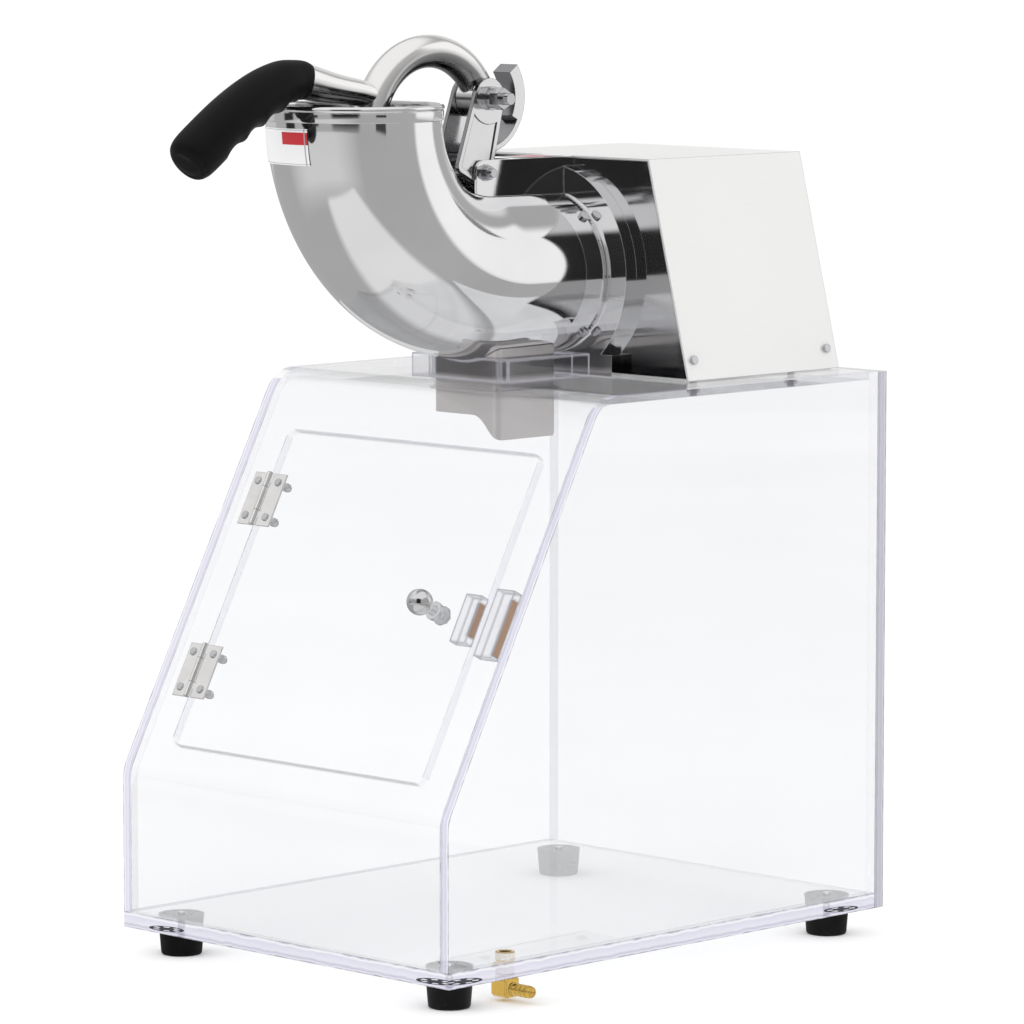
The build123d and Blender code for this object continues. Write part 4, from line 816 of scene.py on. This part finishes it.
def build_gooseneck(steel):
    """Bent tube from the pivot lug over into the hopper, pinched flat where it meets the link."""
    path, radii = [], []
    for i in range(61):
        angle = GOOSENECK_START + (GOOSENECK_END - GOOSENECK_START) * i / 60
        flat = 1 - smoothstep(angle, 28, 58)
        path.append(on_arc(angle))
        radii.append((TUBE_R + (LUG_HALF - TUBE_R) * flat, TUBE_R + 0.6 * flat))
    end, a = on_arc(GOOSENECK_END), math.radians(GOOSENECK_END)
    for step in (5, 10, 15, 20, PUSHER_REACH):
        path.append((end[0] - step * math.sin(a), end[1] + step * math.cos(a)))
        radii.append((TUBE_R, TUBE_R))
    verts, faces = skin_rings(sweep(path, radii, 56))
    cut = 0.9
    lug = [(LUG_BORE, -LUG_HALF), (LUG_R - cut, -LUG_HALF), (LUG_R, -LUG_HALF + cut),
           (LUG_R, LUG_HALF - cut), (LUG_R - cut, LUG_HALF), (LUG_BORE, LUG_HALF)]
    add_part(verts, faces, skin_rings(lathe(lug, Vector((0, *UPPER_PIVOT)), 64, "x"), closed=True))
    tube = new_object("press_tube", verts, faces, steel, "press_arm", "polished_steel")
    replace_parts(sharp_edges(tube, 40), "gooseneck_tube")


def build_handle(steel, grip_rubber):
    """Bar out of the gooseneck and the rubber grip over its end."""
    points = blend_points(HANDLE, 40)
    path = [(y, CABINET_LOW + z) for y, z, _ in points]
    verts, faces = skin_rings(sweep(path, [(r, r) for _, _, r in points], 56))
    tube = new_object("handle_bar", verts, faces, steel, "press_arm", "polished_steel")
    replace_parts(tube, "handle_tube")
    points = blend_points(GRIP, 140)
    path = [(y, CABINET_LOW + z) for y, z, _ in points]
    rings = []
    for (y, z), t, (_, _, r) in zip(path, tangents(path), points):
        rings.append(ring_at(y, z, t, r * GRIP_WAIST, r, 64, finger_shape(y)))
    grip = new_object("rubber_grip", *skin_rings(rings), grip_rubber, "press_arm", "black_rubber")
    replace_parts(grip, "hand_grip")


def finger_shape(y):
    """Radius scale round the grip: finger hollows with crests between them along its underside."""
    share = (y - FINGER_FIRST) / (FINGER_LAST - FINGER_FIRST) * FINGER_COUNT
    hollow = math.sin(math.pi * (share % 1.0)) if 0 < share < FINGER_COUNT else 0.0

    def scale(angle):
        under = max(0.0, -math.sin(angle)) ** 1.5
        return 1 - FINGER_DEPTH * hollow * under
    return scale


# ---- feet and drain ------------------------------------------------------------------
def build_feet(foot_rubber):
    """Tapered rubber feet with a ring of moulded pockets in the top face."""
    low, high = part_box("rubber_feet")
    verts, faces = [], []
    for x in (low.x / MM + FOOT_TOP_R, high.x / MM - FOOT_TOP_R):
        for y in (low.y / MM + FOOT_TOP_R, high.y / MM - FOOT_TOP_R):
            add_part(verts, faces, foot_mesh(Vector((x, y, 0))))
    feet = new_object("foot_mouldings", verts, faces, foot_rubber, "machine", "black_rubber")
    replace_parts(sharp_edges(feet, 30), "rubber_feet")


def foot_mesh(centre):
    """One foot, turned about the vertical through centre, with ribs across its ring of pockets."""
    top = CABINET_LOW - 0.02
    profile = [(5.0, 7.0), (5.0, 0.4), (5.4, 0.0), (12.2, 0.0), (13.2, 0.3), (13.8, 1.0), (14.0, 2.2),
               (15.2, top - 1.6), (FOOT_TOP_R, top - 1.1), (FOOT_TOP_R, top), (14.2, top), (13.9, top - 2.5),
               (7.4, top - 2.5), (7.0, top), (2.6, top), (2.6, 7.0)]
    rings = lathe(profile, centre, 72)
    rib = math.radians(360 / FOOT_RIBS)
    for k, ring in enumerate(rings):
        a = 2 * math.pi * k / len(rings)
        off = abs((a + rib / 2) % rib - rib / 2)
        if off < math.radians(9):
            for i in (11, 12):
                ring[i].z = centre.z + top - 0.3
    return skin_rings(rings, closed=True)


def build_drain(brass):
    """Brass elbow with a ribbed hose tail."""
    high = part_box("drain_elbow")[1]
    tape_low, tape_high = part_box("thread_tape")
    x = (tape_low.x + tape_high.x) / 2 / MM
    y = (tape_low.y + tape_high.y) / 2 / MM
    z = CABINET_LOW - DRAIN_DROP
    verts, faces = skin_rings(lathe(hose_tail(high.x / MM - x), Vector((x, y, z)), 48, "x"), closed=True)
    top = high.z / MM
    stub = [(4.0, z + 4), (4.0, top - 0.4), (4.4, top), (6.0, top), (6.2, top - 0.3), (6.2, z + 4)]
    add_part(verts, faces, skin_rings(lathe(stub, Vector((x, y, 0)), 48), closed=True))
    add_part(verts, faces, chamfered_block(Vector((x, y, z + 1)), Vector((7, 6.5, 6.8)), 2.0))
    drain = new_object("drain_fitting", verts, faces, brass, "machine", "drain_brass")
    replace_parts(sharp_edges(drain, 30), "drain_elbow")


def hose_tail(end):
    """Profile (radius, distance along) of the barbed tail, from its bore at the elbow out to its end."""
    tail = [(2.4, 5.0), (2.4, end), (3.3, end), (3.8, end - 0.8)]
    for k in range(HOSE_RIBS):
        start = end - 2.6 - HOSE_RIB_PITCH * k
        tail += [(HOSE_R, start), (3.4, start - 0.5), (3.4, start - 1.4), (HOSE_R, start - 1.9)]
    return tail + [(HOSE_R, 6.0), (HOSE_R, 5.0)]


def chamfered_block(centre, half, cut):
    """Block with its four long edges cut, lying along X."""
    hy, hz = half.y, half.z
    outline = [(-hy + cut, -hz), (hy - cut, -hz), (hy, -hz + cut), (hy, hz - cut),
               (hy - cut, hz), (-hy + cut, hz), (-hy, hz - cut), (-hy, -hz + cut)]
    ends = ((-half.x, 0.86), (-half.x + 1, 1.0), (half.x - 1, 1.0), (half.x, 0.86))
    rings = [[centre + Vector((x, y * k, z * k)) for y, z in outline] for x, k in ends]
    return skin_rings(rings)


# ---- labels --------------------------------------------------------------------------
def build_labels(front_label, top_label):
    """Blank printed labels: one high on the hopper's front left, one on the neck."""
    verts, faces, uvs = [], [], []
    nu, nv = 24, 10
    for j in range(nv + 1):
        z = LABEL_LOW + (LABEL_HIGH - LABEL_LOW) * j / nv
        for i in range(nu + 1):
            angle = math.radians(LABEL_FROM + (LABEL_TO - LABEL_FROM) * i / nu)
            verts.append(hopper_surface(angle, z, LABEL_LIFT))
            uvs.append((i / nu, j / nv))
    for j in range(nv):
        for i in range(nu):
            a = j * (nu + 1) + i
            faces.append((a, a + 1, a + nu + 2, a + nu + 1))
    label = new_object("hopper_label", verts, faces, front_label, "machine", "polished_steel")
    write_uvs(label, uvs)
    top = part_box("neck_bracket")[1].z / MM + NECK_LABEL_LIFT
    start, end = NECK_LABEL_Y
    half = NECK_LABEL_HALF
    flat = [(-half, start, top), (half, start, top), (half, end, top), (-half, end, top)]
    neck = new_object("neck_label", flat, [(0, 1, 2, 3)], top_label, "machine", "polished_steel")
    write_uvs(neck, [(0, 0), (0, 1), (1, 1), (1, 0)])


def hopper_surface(angle, z, lift):
    """Point on the hopper's outside at a direction round the mouth and a height."""
    if z >= BEND_Z:
        radius, offset = HOPPER_R, 0.0
    else:
        bend = math.asin((BEND_Z - z) / (BEND_R + HOPPER_R))
        radius = HOPPER_R - 1.2 * bend / (math.pi / 2)
        offset = (BEND_R + radius) * (1 - math.cos(bend)) * 0.9
    grow = radius + lift
    return Vector((grow * math.cos(angle), HOPPER_Y + offset + grow * math.sin(angle), z))


def write_uvs(obj, uvs):
    """Stores one place on the print for each vertex."""
    layer = obj.data.uv_layers.new(name="print")
    for loop in obj.data.loops:
        layer.data[loop.index].uv = uvs[loop.vertex_index]


# ---- carried-over CAD nodes ----------------------------------------------------------
def paint(material, *names):
    """Gives one material to the named CAD nodes."""
    for name in names:
        obj = NODES[name]
        obj.data.materials.clear()
        obj.data.materials.append(material)


def paint_cad(steel):
    """Materials of the CAD nodes that show as they are."""
    x_axis, y_axis, z_axis = (1, 0, 0), (0, 1, 0), (0, 0, 1)
    slope, out = tuple(SLOPE), tuple(SLOPE_OUT)
    inner = SLOPE_OUT.dot(KNEE) - SHELL_T
    paint(acrylic_plate("acrylic_base", [x_axis, y_axis], z_axis, CABINET_LOW, BASE_T), "base_plate")
    paint(acrylic("acrylic_back", [x_axis, z_axis], y_axis, BACK_INNER, BACK_T, 0.2, 0.62), "back_panel")
    side = acrylic("acrylic_side", [y_axis, z_axis, out], x_axis, SIDE_INNER, SIDE_T)
    paint(side, "left_side_panel", "right_side_panel")
    paint(acrylic("acrylic_shell", [x_axis, slope], out, inner, SHELL_T), "front_shell")
    paint(acrylic("acrylic_door", [x_axis, slope], out, inner, SHELL_T, 0.6), "door_panel")
    paint(acrylic_block("acrylic_block"), "catch_block", "strike_block", "chute_collar")
    paint_hardware()
    cover_steel = satin_steel("cover_steel", (300, 8, 300), (0.82, 0.82, 0.81), 0.4)
    paint(cover_steel, "motor_cover", "rear_panel", "machine_tray")
    paint(chute_steel(), "ice_chute")
    paint(steel, "barrel_flange", "neck_bracket", "pusher_plate")
    low_tone = (0.05, 0.05, 0.055)
    paint(shaded_steel("plate_steel", (0.62, 0.62, 0.63), low_tone, AXIS_Z - BARREL_R), "front_plate")
    paint(link_steel(), "link_casting")
    cast_alloy = plain_metal("cast_alloy", (0.66, 0.66, 0.67), 0.2, 0.10, 60)
    paint(cast_alloy, "front_end_bell", "rear_end_bell", "cutter_disc")
    paint(plain_metal("core_steel", (0.3, 0.3, 0.32), 0.4), "stator_core", "rotor_core")
    paint(plastic("motor_enamel", (0.04, 0.045, 0.05), 0.35), "motor_housing")
    paint(plastic("catch_brown", (0.36, 0.21, 0.12), 0.45), "catch_magnet", "strike_plate")
    paint(plastic("tape_white", (0.80, 0.76, 0.68), 0.7), "thread_tape")
    paint(plastic("black_plastic", (0.02, 0.02, 0.02), 0.35), "switch_body", "power_inlet", "cooling_fan")
    paint(plastic("rocker_red", (0.45, 0.015, 0.015), 0.25), "switch_rocker")
    paint(plastic("capacitor_grey", (0.55, 0.55, 0.53), 0.5), "run_capacitor")
    paint(rubber("seal_rubber", 0.015, 0.55), "shaft_seal")


def paint_hardware():
    """Screws, nuts, bolts, hinges and the knob."""
    paint(plain_metal("bright_hardware", (0.62, 0.62, 0.64), 0.12),
          "foot_screws", "barrel_screws", "cover_screws", "tray_bolts", "lower_pivot_bolt",
          "lower_pivot_nut", "upper_pivot_bolt", "upper_pivot_washers", "upper_pivot_nut",
          "motor_bearings", "cutter_nut", "cutter_knives", "rotor_shaft")
    paint(plain_metal("door_hardware", (0.62, 0.62, 0.64), 0.12, in_mirrors=False),
          "frame_hinge_screws", "door_hinge_screws", "knob_nut")
    paint(plain_metal("hinge_steel", (0.88, 0.87, 0.86), 0.16, 0.03, in_mirrors=False),
          "hinge_leaves_frame", "hinge_leaves_door")
    paint(plain_metal("knob_chrome", (0.74, 0.74, 0.75), 0.04, 0.01, in_mirrors=False),
          "door_knob", "hinge_pins")


# ---- stage ---------------------------------------------------------------------------
def build_floor():
    """Pale floor; polished metal sees it as a lit sweep of paper on a darker table."""
    s = Shader("floor_paper")
    paper = s.node("ShaderNodeBsdfDiffuse")
    mottle = s.noise(s.coords(), 3, 2)
    s.link(s.ramp(mottle, [(0.3, (0.94, 0.94, 0.94)), (0.7, (0.96, 0.96, 0.96))]), paper.inputs["Color"])
    place = s.node("ShaderNodeTexCoord").outputs["Object"]
    length = s.node("ShaderNodeVectorMath", operation="LENGTH")
    s.link(place, length.inputs[0])
    distance = length.outputs["Value"]
    table = s.node("ShaderNodeEmission")
    s.link(table_level(s, place, distance), table.inputs["Strength"])
    room = s.node("ShaderNodeBsdfTransparent")
    reflected = s.mix_shader(s.math("GREATER_THAN", distance, FLOOR_FAR), table, room)
    material = s.surface(s.mix_shader(mirror_rays(s), paper, reflected).outputs[0])
    mesh = bpy.data.meshes.new("floor")
    size = FLOOR_HALF
    corners = [(-size, -size, 0), (size, -size, 0), (size, size, 0), (-size, size, 0)]
    mesh.from_pydata(corners, [], [(0, 1, 2, 3)])
    floor = bpy.data.objects.new("floor", mesh)
    mesh.materials.append(material)
    bpy.context.scene.collection.objects.link(floor)


def table_level(s, place, distance):
    """How bright the floor looks in polished metal: a lit sweep, and an aisle that fades sideways."""
    sweep = s.math("MULTIPLY", inside_span(s, place, (1, 0, 0), SWEEP_CENTRE[0], SWEEP_HALF[0]),
                   inside_span(s, place, (0, 1, 0), SWEEP_CENTRE[1], SWEEP_HALF[1]))
    behind = s.math("GREATER_THAN", s.dot(place, (0, 1, 0)), BEHIND_Y)
    lit = s.any_of(sweep, s.math("MULTIPLY", past_acrylic(s), behind))
    toward = s.math("DIVIDE", s.dot(place, AISLE_DIRECTION), distance)
    aisle = s.math("MULTIPLY", s.remap(toward, 0.0, AISLE_LIFT, 0.62, 0.93),
                   s.remap(distance, 0.0, 1.0, 0.8, 1.2))
    return s.any_of(s.math("ADD", aisle, ROOM_TONE), s.math("MULTIPLY", lit, SWEEP_TONE))


def inside_span(s, place, axis, centre, half):
    """Soft-edged 1 within half of the centre along an axis."""
    off = s.math("ABSOLUTE", s.math("SUBTRACT", s.dot(place, axis), centre))
    return s.remap(off, 1.0, 0.0, half - SWEEP_SOFT, half + SWEEP_SOFT)


def view_axes(azimuth, elevation):
    """Right, up and outward vectors for a direction given in degrees round from the front and up."""
    az, el = math.radians(azimuth), math.radians(elevation)
    outward = Vector((math.sin(az) * math.cos(el), -math.cos(az) * math.cos(el), math.sin(el)))
    right = Vector((math.cos(az), math.sin(az), 0))
    return right, outward.cross(right), outward


def card(w, ray, azimuth, elevation, half_w, half_h, soft):
    """1 inside a rectangle of directions, 0 outside."""
    right, up, outward = view_axes(azimuth, elevation)
    depth = w.dot(ray, outward)
    mask = w.math("GREATER_THAN", depth, 0.05)
    for direction, half in ((right, half_w), (up, half_h)):
        slant = w.math("DIVIDE", w.dot(ray, direction), w.math("MAXIMUM", depth, 0.001))
        inside = w.remap(w.math("ABSOLUTE", slant), 0.0, 1.0, half + soft, half - soft, "SMOOTHSTEP")
        mask = w.math("MULTIPLY", mask, inside)
    return mask


def build_world():
    """White backdrop for the camera; a studio of light panels and dark cards for reflections."""
    world = bpy.data.worlds.new("studio")
    bpy.context.scene.world = world
    world.use_nodes = True
    w = NodeTree(world.node_tree, "ShaderNodeOutputWorld")
    ray = w.node("ShaderNodeTexCoord").outputs["Generated"]
    level = ROOM_TONE
    for bright, *place in CARDS:
        level = w.mix_value(card(w, ray, *place), level, bright)
    background = w.node("ShaderNodeBackground")
    background.inputs["Color"].default_value = (1, 1, 1, 1)
    w.link(w.mix_value(mirror_rays(w), BACKDROP_TONE, level), background.inputs["Strength"])
    w.surface(background.outputs[0])


def build_lights():
    """Two soft boxes, out of sight in reflections."""
    places = [("key_softbox", (-1.6, -2.2, 2.2), 1.6, 14), ("fill_softbox", (2.4, -1.0, 1.6), 1.2, 6)]
    for name, place, size, power in places:
        light = bpy.data.lights.new(name, "AREA")
        light.energy = power
        light.size = size
        obj = bpy.data.objects.new(name, light)
        obj.location = place
        obj.rotation_euler = (Vector((0, 0, 0.35)) - Vector(place)).to_track_quat("-Z", "Y").to_euler()
        obj.visible_glossy = False
        bpy.context.scene.collection.objects.link(obj)


def build_camera():
    """Camera turned to the middle of the machine."""
    right, up, back = view_axes(CAM_AZIMUTH, CAM_ELEVATION)
    data = bpy.data.cameras.new("camera")
    data.lens = CAM_FOCAL
    data.sensor_width = 36.0
    camera = bpy.data.objects.new("camera", data)
    place = right * CAM_SHIFT_RIGHT + Vector((0, 0, CAM_TARGET_Z)) + back * CAM_DISTANCE
    turn = Matrix((right, up, back)).transposed().to_4x4()
    camera.matrix_world = Matrix.Translation(place) @ turn
    bpy.context.scene.collection.objects.link(camera)
    bpy.context.scene.camera = camera


def set_scene():
    """Plain colours, and enough bounces for stacked clear sheets."""
    scene = bpy.context.scene
    scene.view_settings.view_transform = "Standard"
    scene.cycles.max_bounces = 24
    scene.cycles.transmission_bounces = 24
    scene.cycles.glossy_bounces = 8
    scene.cycles.transparent_max_bounces = 24
    scene.cycles.sample_clamp_indirect = 4.0


def main():
    steel = polished_steel()
    paint_cad(steel)
    build_hopper(steel)
    tube_steel = lever_steel()
    build_gooseneck(tube_steel)
    build_handle(tube_steel, rubber("grip_rubber", 0.004, 0.5))
    build_feet(rubber("foot_rubber", 0.005, 0.55, in_mirrors=False))
    build_drain(plain_metal("brass", (0.80, 0.52, 0.12), 0.2, 0.05, in_mirrors=False))
    white, red, grey = (0.85, 0.85, 0.86), (0.55, 0.02, 0.03), (0.5, 0.5, 0.5)
    front_label = paper_label("label_front", [(0.0, white), (0.56, red), (0.90, white)], (0, 1, 0), 0.64)
    strip = [(0.0, grey), (0.25, red), (0.45, grey), (0.55, red), (0.75, grey)]
    top_label = paper_label("label_top", strip, (1, 0, 0))
    build_labels(front_label, top_label)
    build_floor()
    build_world()
    build_lights()
    build_camera()
    set_scene()


main()
